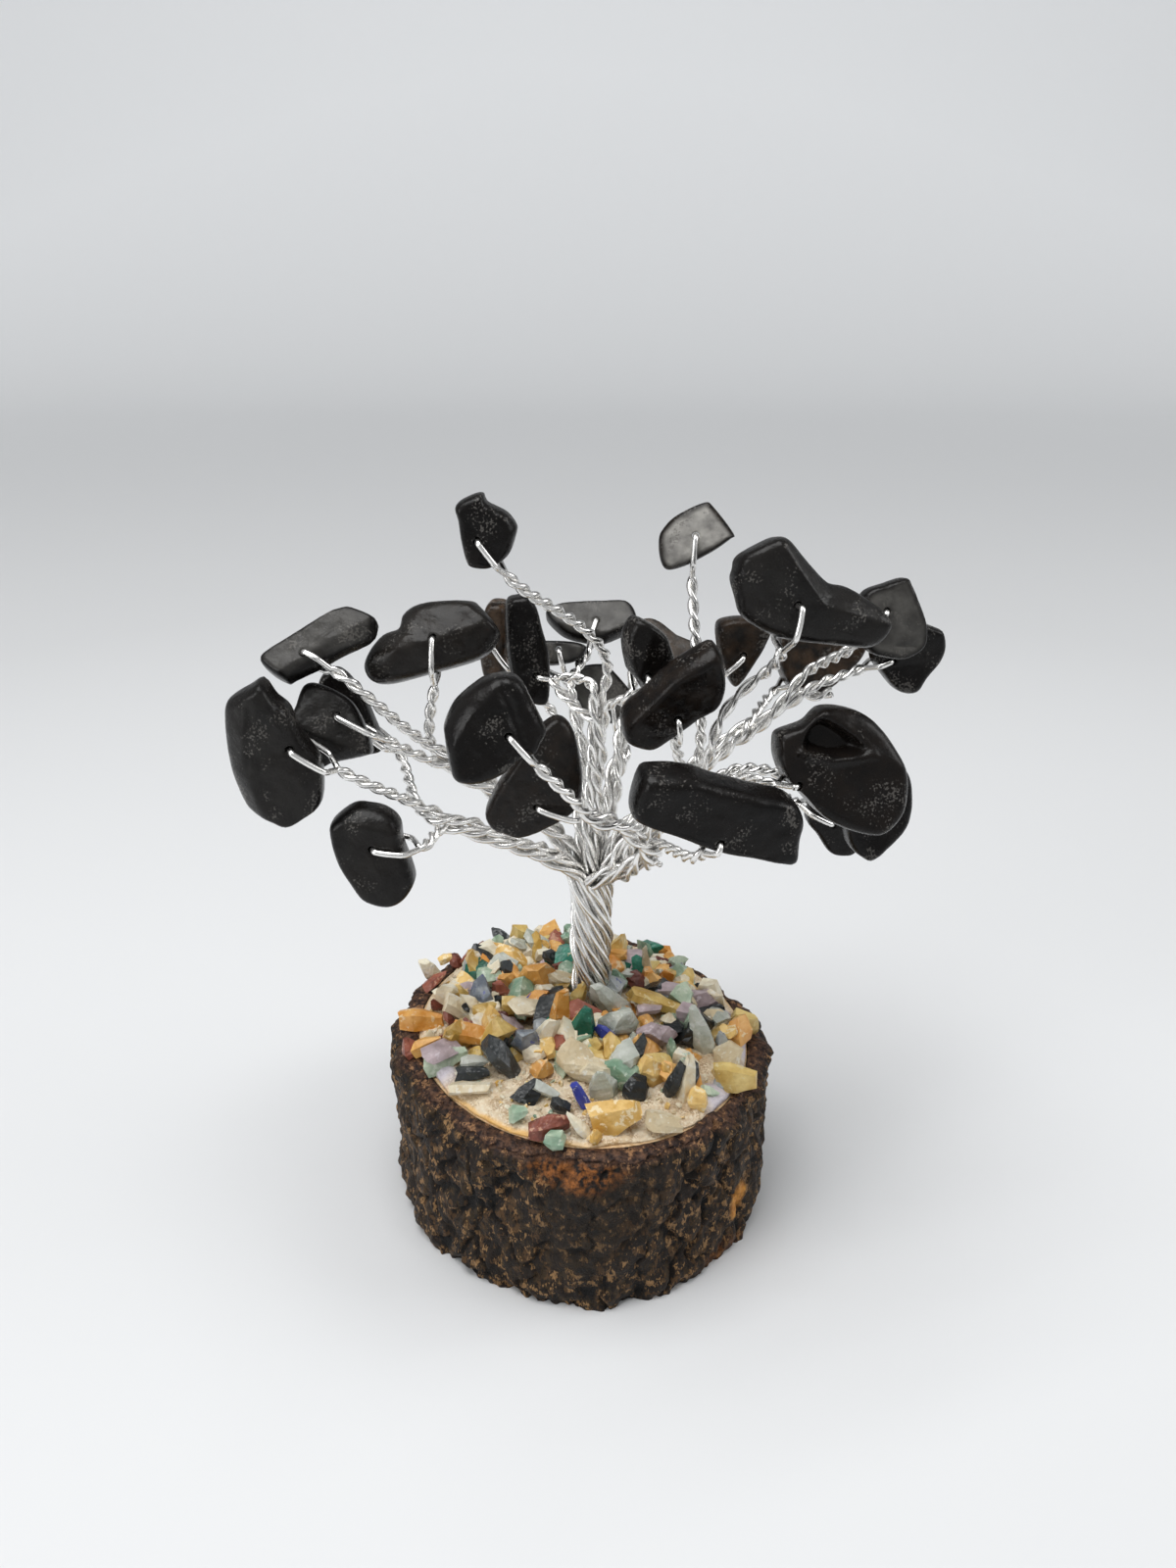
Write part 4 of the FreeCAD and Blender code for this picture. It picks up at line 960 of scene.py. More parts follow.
def shard_skins(count, rings, corners, seed):
    """So many shards of about unit size: each corner's reach times its ring's width, at uneven
    bearings. The rings' widths run through a foot, a waist and a tip of random width, and their
    middles lean with the height."""
    spread = np.random.default_rng(seed)
    level = np.linspace(-1, 1, rings)
    foot = spread.uniform(*FOOT_WIDTH, (count, 1))
    tip = spread.uniform(*TIP_WIDTH, (count, 1))
    width = foot + (1 - foot) * climb(level, -1, FOOT_SPAN)
    width = width * (1 + (tip - 1) * climb(level, TIP_FROM, 1 - TIP_FROM) ** TIP_POWER)
    width = width[..., None] * spread.uniform(*WIDTH_STRAY, (count, rings, corners))
    bearing = spread.uniform(-CORNER_STRAY, CORNER_STRAY, (count, 1, corners))
    bearing = (np.arange(corners) + bearing) * FULL_TURN / corners
    reach = width * spread.uniform(*CORNER_REACH, (count, 1, corners))
    height = spread.uniform(-RING_STRAY, RING_STRAY, (count, rings, corners))
    height = level[None, :, None] + height
    lean = spread.uniform(-LEAN, LEAN, (count, 1, 1, 2)) * level[None, :, None, None]
    return with_height(reach[..., None] * way_at(bearing) + lean, height)


def filled(skins):
    """The shards moved and stretched until each fills the cube from -1 to 1."""
    ends = np.stack([skins.min(axis=(1, 2)), skins.max(axis=(1, 2))])[:, :, None, None, :]
    return (skins - ends.mean(axis=0)) / (np.ptp(ends, axis=0) / 2)


def turned_by(yaw, pitch, roll):
    """Turning matrices: about the chip's own axes by roll and pitch, then round by yaw."""
    cy, sy = np.cos(yaw), np.sin(yaw)
    cp, sp = np.cos(pitch), np.sin(pitch)
    cr, sr = np.cos(roll), np.sin(roll)
    rows = [
        [cy * cp, cy * sp * sr - sy * cr, cy * sp * cr + sy * sr],
        [sy * cp, sy * sp * sr + cy * cr, sy * sp * cr - cy * sr],
        [-sp, cp * sr, cp * cr],
    ]
    return np.moveaxis(np.array(rows), -1, 0)


def placed_chips(skins, halves, turns, middles):
    """Chips scaled by their half sizes, turned, and moved to their places."""
    scaled = skins * halves[:, None, None, :]
    return np.einsum("cxy,cijy->cijx", turns, scaled) + middles[:, None, None, :]


# %% [markdown]
# The chips that catch the eye are set one by one: each row gives the kind of stone, the pixel
# at which its middle is seen, its width, depth and height in millimetres, and how far it leans,
# in degrees. The sight line is followed to the height at which the chip lies. A chip that is
# wider than it is high lies on its side, so its tip points sideways.

# %% Chips set one by one
MARKED_CHIPS = (
    ("orange_calcite", 548, 997, 6.4, 4.4, 6.2, 10),
    ("citrine", 535, 957, 5.0, 3.4, 4.8, -14),
    ("milky_quartz", 507, 975, 4.6, 3.6, 5.2, 15),
    ("tourmaline", 560, 953, 3.4, 2.4, 2.2, 0),
    ("tourmaline", 511, 954, 2.8, 2.2, 2.6, 20),
    ("aventurine", 582, 959, 3.6, 2.4, 2.8, 0),
    ("malachite", 569, 977, 4.6, 2.6, 2.0, -8),
    ("lapis", 583, 970, 2.8, 2.2, 2.4, 0),
    ("red_jasper", 577, 988, 3.8, 2.4, 3.0, 18),
    ("red_jasper", 484, 975, 4.4, 2.6, 2.4, 14),
    ("red_jasper", 466, 981, 2.4, 2.0, 2.0, -10),
    ("milky_quartz", 440, 988, 3.8, 3.2, 3.8, 0),
    ("yellow_jasper", 455, 978, 2.6, 2.0, 1.8, 20),
    ("sodalite", 479, 989, 2.2, 2.0, 3.8, -4),
    ("aventurine", 503, 998, 4.4, 3.0, 3.2, 12),
    ("red_jasper", 446, 1002, 4.4, 2.6, 2.2, 25),
    ("red_jasper", 514, 1011, 3.8, 2.6, 3.4, 0),
    ("rose_quartz", 482, 1010, 3.8, 2.6, 2.8, 5),
    ("aventurine", 491, 1019, 2.8, 2.2, 2.2, 0),
    ("tourmaline", 506, 1024, 2.8, 2.4, 2.8, -10),
    ("milky_quartz", 463, 1011, 3.4, 2.6, 3.0, 0),
    ("milky_quartz", 472, 1028, 5.6, 3.4, 3.8, -18),
    ("red_jasper", 445, 1024, 2.6, 2.0, 2.6, 30),
    ("orange_calcite", 430, 1039, 6.8, 3.4, 3.4, 6),
    ("citrine", 532, 1027, 6.0, 3.4, 3.2, -5),
    ("orange_calcite", 570, 1032, 3.6, 3.0, 8.6, 4),
    ("citrine", 591, 1013, 3.2, 2.8, 4.8, -4),
    ("malachite", 593, 1046, 4.0, 3.2, 6.6, -3),
    ("lapis", 621, 1058, 5.0, 2.0, 2.1, -36),
    ("clear_quartz", 623, 1016, 5.8, 4.4, 6.0, 8),
    ("clear_quartz", 631, 1041, 5.8, 4.4, 4.8, -6),
    ("aventurine", 632, 999, 2.4, 2.0, 3.0, 8),
    ("malachite", 637, 988, 4.6, 2.4, 2.4, -28),
    ("tourmaline", 640, 974, 5.0, 2.6, 2.4, -20),
    ("milky_quartz", 660, 985, 1.6, 1.5, 6.6, 4),
    ("citrine", 668, 1023, 8.2, 3.2, 3.0, -24),
    ("rose_quartz", 688, 1013, 5.0, 3.4, 3.8, 3),
    ("sodalite", 688, 992, 3.2, 2.4, 2.2, 10),
    ("milky_quartz", 723, 1012, 4.2, 3.2, 4.4, 10),
    ("tourmaline", 719, 1032, 6.0, 2.6, 1.7, 10),
    ("citrine", 759, 1043, 5.2, 3.6, 4.2, -16),
    ("rose_quartz", 662, 1031, 3.6, 2.0, 1.8, -10),
    ("rose_quartz", 670, 1055, 5.0, 3.4, 4.2, 26),
    ("tourmaline", 695, 1055, 3.2, 2.6, 3.0, 0),
    ("clear_quartz", 716, 1052, 3.4, 2.8, 7.4, 4),
    ("sodalite", 740, 1061, 2.8, 2.2, 3.4, -8),
    ("aventurine", 687, 1070, 1.9, 1.6, 3.2, -6),
    ("tourmaline", 688, 1102, 2.5, 2.2, 6.4, -10),
    ("milky_quartz", 704, 1101, 3.0, 2.4, 8.0, -13),
    ("citrine", 749, 1098, 6.2, 4.4, 4.8, 4),
    ("yellow_jasper", 713, 1121, 2.9, 2.2, 3.2, -14),
    ("aventurine", 724, 1114, 2.8, 2.0, 1.7, -10),
    ("yellow_jasper", 665, 1091, 4.6, 3.2, 4.0, -20),
    ("aventurine", 637, 1096, 5.2, 3.2, 4.8, 20),
    ("tourmaline", 649, 1111, 3.6, 2.8, 3.4, -15),
    ("milky_quartz", 592, 1082, 6.6, 4.0, 5.4, -6),
    ("clear_quartz", 614, 1104, 4.2, 3.0, 4.6, 10),
    ("aventurine", 590, 1063, 4.0, 2.6, 2.3, 5),
    ("milky_quartz", 559, 1055, 3.5, 2.4, 6.6, -16),
    ("sodalite", 537, 1064, 4.4, 3.0, 5.0, 8),
    ("tourmaline", 515, 1083, 7.6, 3.6, 4.8, -32),
    ("rose_quartz", 521, 1044, 3.6, 2.6, 3.0, 10),
    ("orange_calcite", 484, 1055, 6.6, 3.0, 3.6, -8),
    ("milky_quartz", 497, 1042, 4.2, 2.6, 3.0, 14),
    ("orange_calcite", 437, 1067, 4.6, 2.8, 3.2, 14),
    ("red_jasper", 418, 1069, 2.8, 2.2, 3.0, 20),
    ("aventurine", 455, 1080, 6.2, 3.2, 3.8, 14),
    ("clear_quartz", 484, 1086, 4.0, 2.6, 2.6, -8),
    ("tourmaline", 482, 1094, 4.8, 2.6, 2.2, -6),
    ("milky_quartz", 480, 1111, 6.2, 3.6, 2.2, 6),
    ("orange_calcite", 554, 1088, 3.6, 2.6, 3.6, -20),
    ("tourmaline", 537, 1112, 4.0, 2.8, 3.4, -14),
    ("clear_quartz", 556, 1112, 3.8, 2.4, 2.4, -26),
    ("lapis", 593, 1118, 2.1, 1.7, 4.4, 14),
    ("tourmaline", 571, 1130, 2.7, 2.0, 2.0, -20),
    ("aventurine", 529, 1138, 3.0, 2.4, 2.3, 8),
    ("red_jasper", 560, 1147, 5.4, 3.4, 3.2, -4),
    ("aventurine", 566, 1163, 3.0, 2.4, 2.4, 0),
    ("milky_quartz", 590, 1146, 1.8, 1.6, 5.0, 30),
    ("yellow_jasper", 627, 1135, 7.2, 4.0, 5.2, 16),
    ("yellow_jasper", 606, 1159, 2.2, 2.0, 2.8, 10),
    ("milky_quartz", 677, 1142, 5.0, 3.6, 3.4, 0),
)

# %% The marked chips' places
MARKED_KINDS = np.array([chip[0] for chip in MARKED_CHIPS])
MARKED_SIZES = np.array([chip[3:6] for chip in MARKED_CHIPS])
GRAVEL_KINDS = sorted(set(MARKED_KINDS.tolist()))
PILE_HEIGHT = 3.0
PILE_SHARES = ((0.0, 1.0), (0.3, 0.85), (0.6, 0.4), (0.85, 0.1), (1.0, 0.0))
MARKED_LIFT = 0.34
MARKED_PILE = 0.45
LYING_FROM = 1.25


def pile_height(places):
    """How high the heap stands over the glue: by how far out the place is."""
    return PILE_HEIGHT * by_share(PILE_SHARES, places)


def marked_places():
    """The middle of each marked chip: its sight line meets the plane at the heap's height there,
    plus a share of the chip's own height. The heap's height is found in three rounds."""
    rise = np.full(len(MARKED_CHIPS), GLUE_CROWN / 2)
    for _ in range(3):
        levels = WOOD_TOP + rise + MARKED_LIFT * MARKED_SIZES[:, 2]
        places = np.array(
            [
                seen_on_plane(chip[1:3], level * UP, UP)
                for chip, level in zip(MARKED_CHIPS, levels)
            ]
        )
        rise = glue_height(places[:, :2]) + MARKED_PILE * pile_height(places[:, :2])
    return places


def marked_chips(middles):
    """The marked chips' grids, with leans about the way that the camera looks."""
    skins = filled(shard_skins(len(MARKED_CHIPS), rings=5, corners=6, seed=3))
    lying = MARKED_SIZES[:, 0] > LYING_FROM * MARKED_SIZES[:, 2]
    on_side = np.stack([skins[..., 2], skins[..., 1], -skins[..., 0]], axis=-1)
    skins = np.where(lying[:, None, None, None], on_side, skins)
    lean = -np.radians([chip[6] for chip in MARKED_CHIPS])
    turns = turned_by(lean * 0, lean, lean * 0)
    return placed_chips(skins, MARKED_SIZES / 2, turns, middles)


# %% [markdown]
# The rest of the heap is dropped in, one chip at a time: each lands on the heap as it is under
# its footprint, sinks in a little, and raises the heap there. A height map on a fine grid keeps
# that. Last come crumbs, which are tiny chips scattered in the dust.

# %% The heap
HEAP_STEP = 0.6
HEAP_CHIPS = 240
HEAP_SHARES = {
    "milky_quartz": 0.2,
    "orange_calcite": 0.11,
    "citrine": 0.13,
    "aventurine": 0.13,
    "clear_quartz": 0.11,
    "tourmaline": 0.08,
    "yellow_jasper": 0.08,
    "red_jasper": 0.05,
    "sodalite": 0.04,
    "rose_quartz": 0.04,
    "malachite": 0.025,
    "lapis": 0.005,
}
HEAP_SIZE = 4.2
HEAP_SIZE_SPREAD = 0.26
HEAP_SIZE_LIMITS = (2.2, 6.0)
HEAP_SHAPES = ((0.75, 0.6, 0.4), (1.2, 0.95, 0.75))
HEAP_LEAN = 0.55
HEAP_AREA = (0.02, 0.9)
BARE_FROM = 0.6
BARE_BEARINGS = (-2.55, -1.0)
TRUNK_CLEARANCE = 2.6
MARKED_CLEARANCE = 1.2
FOOTPRINT = 0.8
REST_PERCENTILE = 60
HEAP_LIMIT = 0.55
HEAP_LIFT = 0.45
HEAP_RAISE = 1.2
CRUMBS = 900
CRUMB_AREA = (0.05, 0.9)
CRUMB_HALVES = (0.1, 0.42)
CRUMB_SHAPES = (0.6, 1.2)
CRUMB_LIFT = 0.1
CRUMB_FRONT = (-0.6, 0.5)
CRUMBS_ELSEWHERE = 0.45
CRUMB_SHARES = {"milky_quartz": 0.6, "yellow_jasper": 0.2, "citrine": 0.1, "aventurine": 0.1}


# %% Where the dropped chips land
def heap_places(count, spread, marked):
    """Where the dropped chips lie: evenly over the slice, but not at the bare front left nor
    under the marked chips' middles."""
    places = []
    while len(places) < count:
        share = math.sqrt(spread.uniform(*HEAP_AREA))
        place = oval(share, spread.uniform(0, FULL_TURN))
        bare = BARE_BEARINGS[0] < bearing_of(place) < BARE_BEARINGS[1] and share > BARE_FROM
        trunk_gap = np.linalg.norm(place - TRUNK_FOOT[:2])
        marked_gap = np.linalg.norm(marked[:, :2] - place, axis=1).min()
        if not bare and trunk_gap >= TRUNK_CLEARANCE and marked_gap >= MARKED_CLEARANCE:
            places.append(place)
    return np.array(places)


def settled(places, halves, turns):
    """The heights at which dropped chips come to rest on each other."""
    reach = SLICE_LONG + 2
    axis = np.linspace(-reach, reach, int(2 * reach / HEAP_STEP))
    grid = np.stack(np.meshgrid(axis, axis, indexing="ij"), axis=-1)
    heap = WOOD_TOP + glue_height(grid)
    levels = []
    for place, half, turn in zip(places, halves, turns):
        right, back, upright = np.abs(turn) @ half
        under = np.linalg.norm(grid - place, axis=-1) < (right + back) / 2 * FOOTPRINT
        floor = np.percentile(heap[under], REST_PERCENTILE) if under.any() else WOOD_TOP
        floor = min(floor, WOOD_TOP + glue_height(place) + HEAP_LIMIT * pile_height(place))
        levels.append(floor + HEAP_LIFT * upright)
        heap[under] = np.maximum(heap[under], floor + HEAP_RAISE * upright)
    return np.array(levels)


def heap_chips(marked):
    """The dropped chips' grids and kinds."""
    spread = np.random.default_rng(29)
    places = heap_places(HEAP_CHIPS, spread, marked)
    size = spread.lognormal(math.log(HEAP_SIZE), HEAP_SIZE_SPREAD, HEAP_CHIPS)
    size = np.clip(size, *HEAP_SIZE_LIMITS)[:, None]
    halves = size * spread.uniform(*HEAP_SHAPES, (HEAP_CHIPS, 3)) / 2
    yaw = spread.uniform(0, FULL_TURN, HEAP_CHIPS)
    turns = turned_by(yaw, *spread.normal(0, HEAP_LEAN, (2, HEAP_CHIPS)))
    middles = with_height(places, settled(places, halves, turns))
    skins = filled(shard_skins(HEAP_CHIPS, rings=4, corners=6, seed=4))
    kinds = spread.choice(list(HEAP_SHARES), HEAP_CHIPS, p=list(HEAP_SHARES.values()))
    return placed_chips(skins, halves, turns, middles), kinds


def crumb_chips():
    """Crumbs: tiny chips that lie on the glue, most of them at the front."""
    spread = np.random.default_rng(31)
    share = np.sqrt(spread.uniform(*CRUMB_AREA, CRUMBS))
    places = oval(share, spread.uniform(0, FULL_TURN, CRUMBS))
    halves = spread.uniform(*CRUMB_HALVES, (CRUMBS, 1))
    halves = halves * spread.uniform(*CRUMB_SHAPES, (CRUMBS, 3))
    turns = turned_by(*spread.uniform(0, FULL_TURN, (3, CRUMBS)))
    middles = with_height(places, WOOD_TOP + glue_height(places) + CRUMB_LIFT)
    at_front = (bearing_of(places) < CRUMB_FRONT[0]) & (share > CRUMB_FRONT[1])
    keep = (spread.uniform(size=CRUMBS) < CRUMBS_ELSEWHERE) | at_front
    skins = filled(shard_skins(CRUMBS, rings=3, corners=5, seed=5))
    kinds = spread.choice(list(CRUMB_SHARES), CRUMBS, p=list(CRUMB_SHARES.values()))
    return placed_chips(skins, halves, turns, middles)[keep], kinds[keep]


# %% [markdown]
# Each kind of stone is one piece, made of its marked chips, its dropped chips and its crumbs.
# They have different grids, so they are made one by one and joined.

# %% One piece for each kind
def joined(name, parts):
    """Several mesh objects as one, under a new name."""
    bpy.ops.object.select_all(action="DESELECT")
    for part in parts:
        part.select_set(True)
    bpy.context.view_layer.objects.active = parts[0]
    if len(parts) > 1:
        bpy.ops.object.join()
    parts[0].name = name
    parts[0].data.name = name
    return parts[0]


def tints(grids):
    """One number from 0 to 1 for each chip, carried by all its points."""
    each = np.random.default_rng(len(grids)).uniform(size=len(grids))
    return np.repeat(each, grids.shape[1] * grids.shape[2])


marked_middles = marked_places()
batches = (
    (marked_chips(marked_middles), MARKED_KINDS),
    heap_chips(marked_middles),
    crumb_chips(),
)
gravel = {}
for kind in GRAVEL_KINDS:
    own = [grids[kinds == kind] for grids, kinds in batches]
    parts = [
        grids_piece(f"{kind}_part", grids, smooth=False, numbers={"tint": tints(grids)})
        for grids in own
        if len(grids)
    ]
    gravel[kind] = joined(f"{kind}_chips", parts)
print("gravel kinds", len(gravel))

# %% [markdown]
# A gemstone's look is two shades that drift through it, specks or veins of another colour, how
# common these are, how rough its broken faces are, and how much light goes through it. Each
# kind is one row of such values.

# %% The gravel's colours
GEMS = {
    "clear_quartz": ((0.5, 0.54, 0.46), (0.82, 0.85, 0.78), (0.86, 0.88, 0.84), 0.08, 0.2, 0.3),
    "citrine": ((0.56, 0.33, 0.06), (0.88, 0.68, 0.26), (0.88, 0.76, 0.46), 0.08, 0.3, 0.15),
    "malachite": ((0.004, 0.07, 0.04), (0.02, 0.2, 0.13), (0.1, 0.36, 0.25), 0.05, 0.25, 0.0),
    "milky_quartz": ((0.66, 0.54, 0.34), (0.92, 0.86, 0.68), (0.88, 0.86, 0.78), 0.1, 0.38, 0.1),
    "orange_calcite": ((0.66, 0.26, 0.03), (0.9, 0.52, 0.16), (0.92, 0.76, 0.48), 0.09, 0.34, 0.1),
    "lapis": ((0.012, 0.022, 0.2), (0.05, 0.07, 0.42), (0.5, 0.54, 0.66), 0.06, 0.35, 0.0),
    "aventurine": ((0.2, 0.34, 0.23), (0.56, 0.66, 0.5), (0.72, 0.78, 0.66), 0.1, 0.28, 0.1),
    "red_jasper": ((0.1, 0.022, 0.015), (0.36, 0.11, 0.065), (0.6, 0.36, 0.24), 0.07, 0.4, 0.0),
    "tourmaline": ((0.008, 0.01, 0.011), (0.03, 0.035, 0.037), (0.14, 0.15, 0.15), 0.05, 0.28, 0.0),
    "yellow_jasper": ((0.6, 0.34, 0.07), (0.88, 0.62, 0.24), (0.92, 0.82, 0.58), 0.12, 0.42, 0.0),
    "rose_quartz": ((0.34, 0.26, 0.27), (0.64, 0.52, 0.55), (0.74, 0.66, 0.7), 0.06, 0.28, 0.15),
    "sodalite": ((0.12, 0.14, 0.17), (0.44, 0.47, 0.48), (0.03, 0.05, 0.3), 0.07, 0.3, 0.0),
}
TINT_SPREAD = 0.45

for kind, (deep, light, vein, vein_share, roughness, clear) in GEMS.items():
    material, tree, sockets = new_material(kind, Roughness=roughness, Transmission_Weight=clear)
    clouds = shared(tree, cloud_group, Size=2.0, Contrast=2.4)
    tinted = ranged(tree, point_number(tree, "tint"), 0.0, 1.0, -TINT_SPREAD, TINT_SPREAD)
    drift = maths(tree, "ADD", clouds, tinted, use_clamp=True)
    shade = blend_colours(tree, drift, deep, light)
    veins = shared(tree, speck_group, Size=0.6, Share=vein_share, Patch=1.6)
    shade = laid_over(tree, shade, vein, veins, most=0.65)
    pits = bumped(tree, shared(tree, pit_group, Size=0.5, Softness=0.6), depth=0.16)
    connect(tree, sockets, Base_Color=shade, Normal=pits)
    dress(gravel[kind], TREE, material, f"gravel_{kind}")

# %% [markdown]
# Nine boughs make the trunk. Each bough is three wires, folded in two, one for each of its
# leaf stones, so six strands. Round the trunk's axis eight boughs stand in slots, and the ninth
# is the core. A row gives the slot, where the bough ends as shares of the crown, how long it
# keeps the trunk's direction, how far it sways to one side on its way, and for each of its
# leaves the share of it where the twig parts.

# %% The boughs' middle lines
CROWN = np.array([40.0, 40.0, 80.0])
TRUNK_SLOTS = 8
TRUNK_RING = 2.3
FOOT_RING = 1.6
TRUNK_TOP = 25.0
TRUNK_BOTTOM = -2.0
TRUNK_TURN = math.radians(210.0)
TRUNK_STEPS = 60
BOUGH_STEPS = 120
RING_POWER = 1.5
STRAIGHT = (0.0, 0.0, 0.0)
BOUGHS = {
    "right_high": (0, (0.5, -0.27, 0.73), 0.3, (0.16, 0.0, -0.06), {17: 0.5, 18: 0.4, 19: 1.0}),
    "right": (1, (0.7, 0.0, 0.67), 0.3, STRAIGHT, {20: 1.0, 21: 0.95, 23: 0.7}),
    "back_right": (2, (0.12, 0.2, 0.54), 0.3, STRAIGHT, {14: 1.0, 16: 0.75, 22: 0.95}),
    "back": (3, (-0.06, 0.28, 0.58), 0.3, STRAIGHT, {10: 0.7, 12: 1.0, 13: 0.8}),
    "left_high": (4, (-0.51, -0.18, 0.59), 0.28, STRAIGHT, {2: 1.0, 3: 0.95, 4: 0.9}),
    "left_low": (5, (-0.52, -0.32, 0.51), 0.15, STRAIGHT, {5: 1.0, 6: 0.8, 7: 0.9}),
    "front": (6, (0.0, -0.62, 0.59), 0.15, (0.46, -0.24, 0.08), {8: 1.0, 9: 0.7, 24: 0.3}),
    "right_low": (7, (0.42, -0.28, 0.56), 0.2, (0.2, -0.1, 0.14), {25: 1.0, 26: 0.95, 27: 0.85}),
    "centre": (None, (0.03, 0.0, 0.67), 0.35, STRAIGHT, {1: 1.0, 11: 0.95, 15: 0.85}),
}


def bezier(start, lead, arrive, end, shares):
    """The cubic curve from start to end that leaves towards lead and arrives from arrive."""
    share = shares[:, None]
    rest = 1 - share
    return (
        start * rest**3
        + 3 * lead * rest**2 * share
        + 3 * arrive * rest * share**2
        + end * share**3
    )


def bough_middle(slot, end_shares, lead_share, sway_shares):
    """A bough's middle line from the trunk's foot: a helix whose ring widens upwards, then a
    cubic curve to the bough's end, whose lead is moved by the sway."""
    share = np.linspace(0, 1, TRUNK_STEPS + 1)
    ring = 0.0 if slot is None else FOOT_RING + (TRUNK_RING - FOOT_RING) * share**RING_POWER
    angle = (0 if slot is None else slot * FULL_TURN / TRUNK_SLOTS) + TRUNK_TURN * (1 - share)
    height = TRUNK_BOTTOM + (TRUNK_TOP - TRUNK_BOTTOM) * share
    trunk = np.column_stack([ring * np.cos(angle), ring * np.sin(angle), height])
    top = trunk[-1]
    end = np.array(end_shares) * CROWN
    reach = np.linalg.norm(end - top) * lead_share
    lead = top + directed(top - trunk[-3]) * reach + np.array(sway_shares) * CROWN
    arrive = end - directed(end - top) * reach
    bough = bezier(top, lead, arrive, end, np.linspace(0, 1, BOUGH_STEPS + 1)[1:])
    return np.vstack([trunk, bough]) + TRUNK_FOOT


# %% [markdown]
# The outline of each leaf stone was read off the picture as it is seen there. The stone hangs
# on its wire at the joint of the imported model, which also says which way its face looks. The
# outline's pixels are moved with the bore and laid on the plane of that face. A row gives the
# bore's pixel and then the outline's.

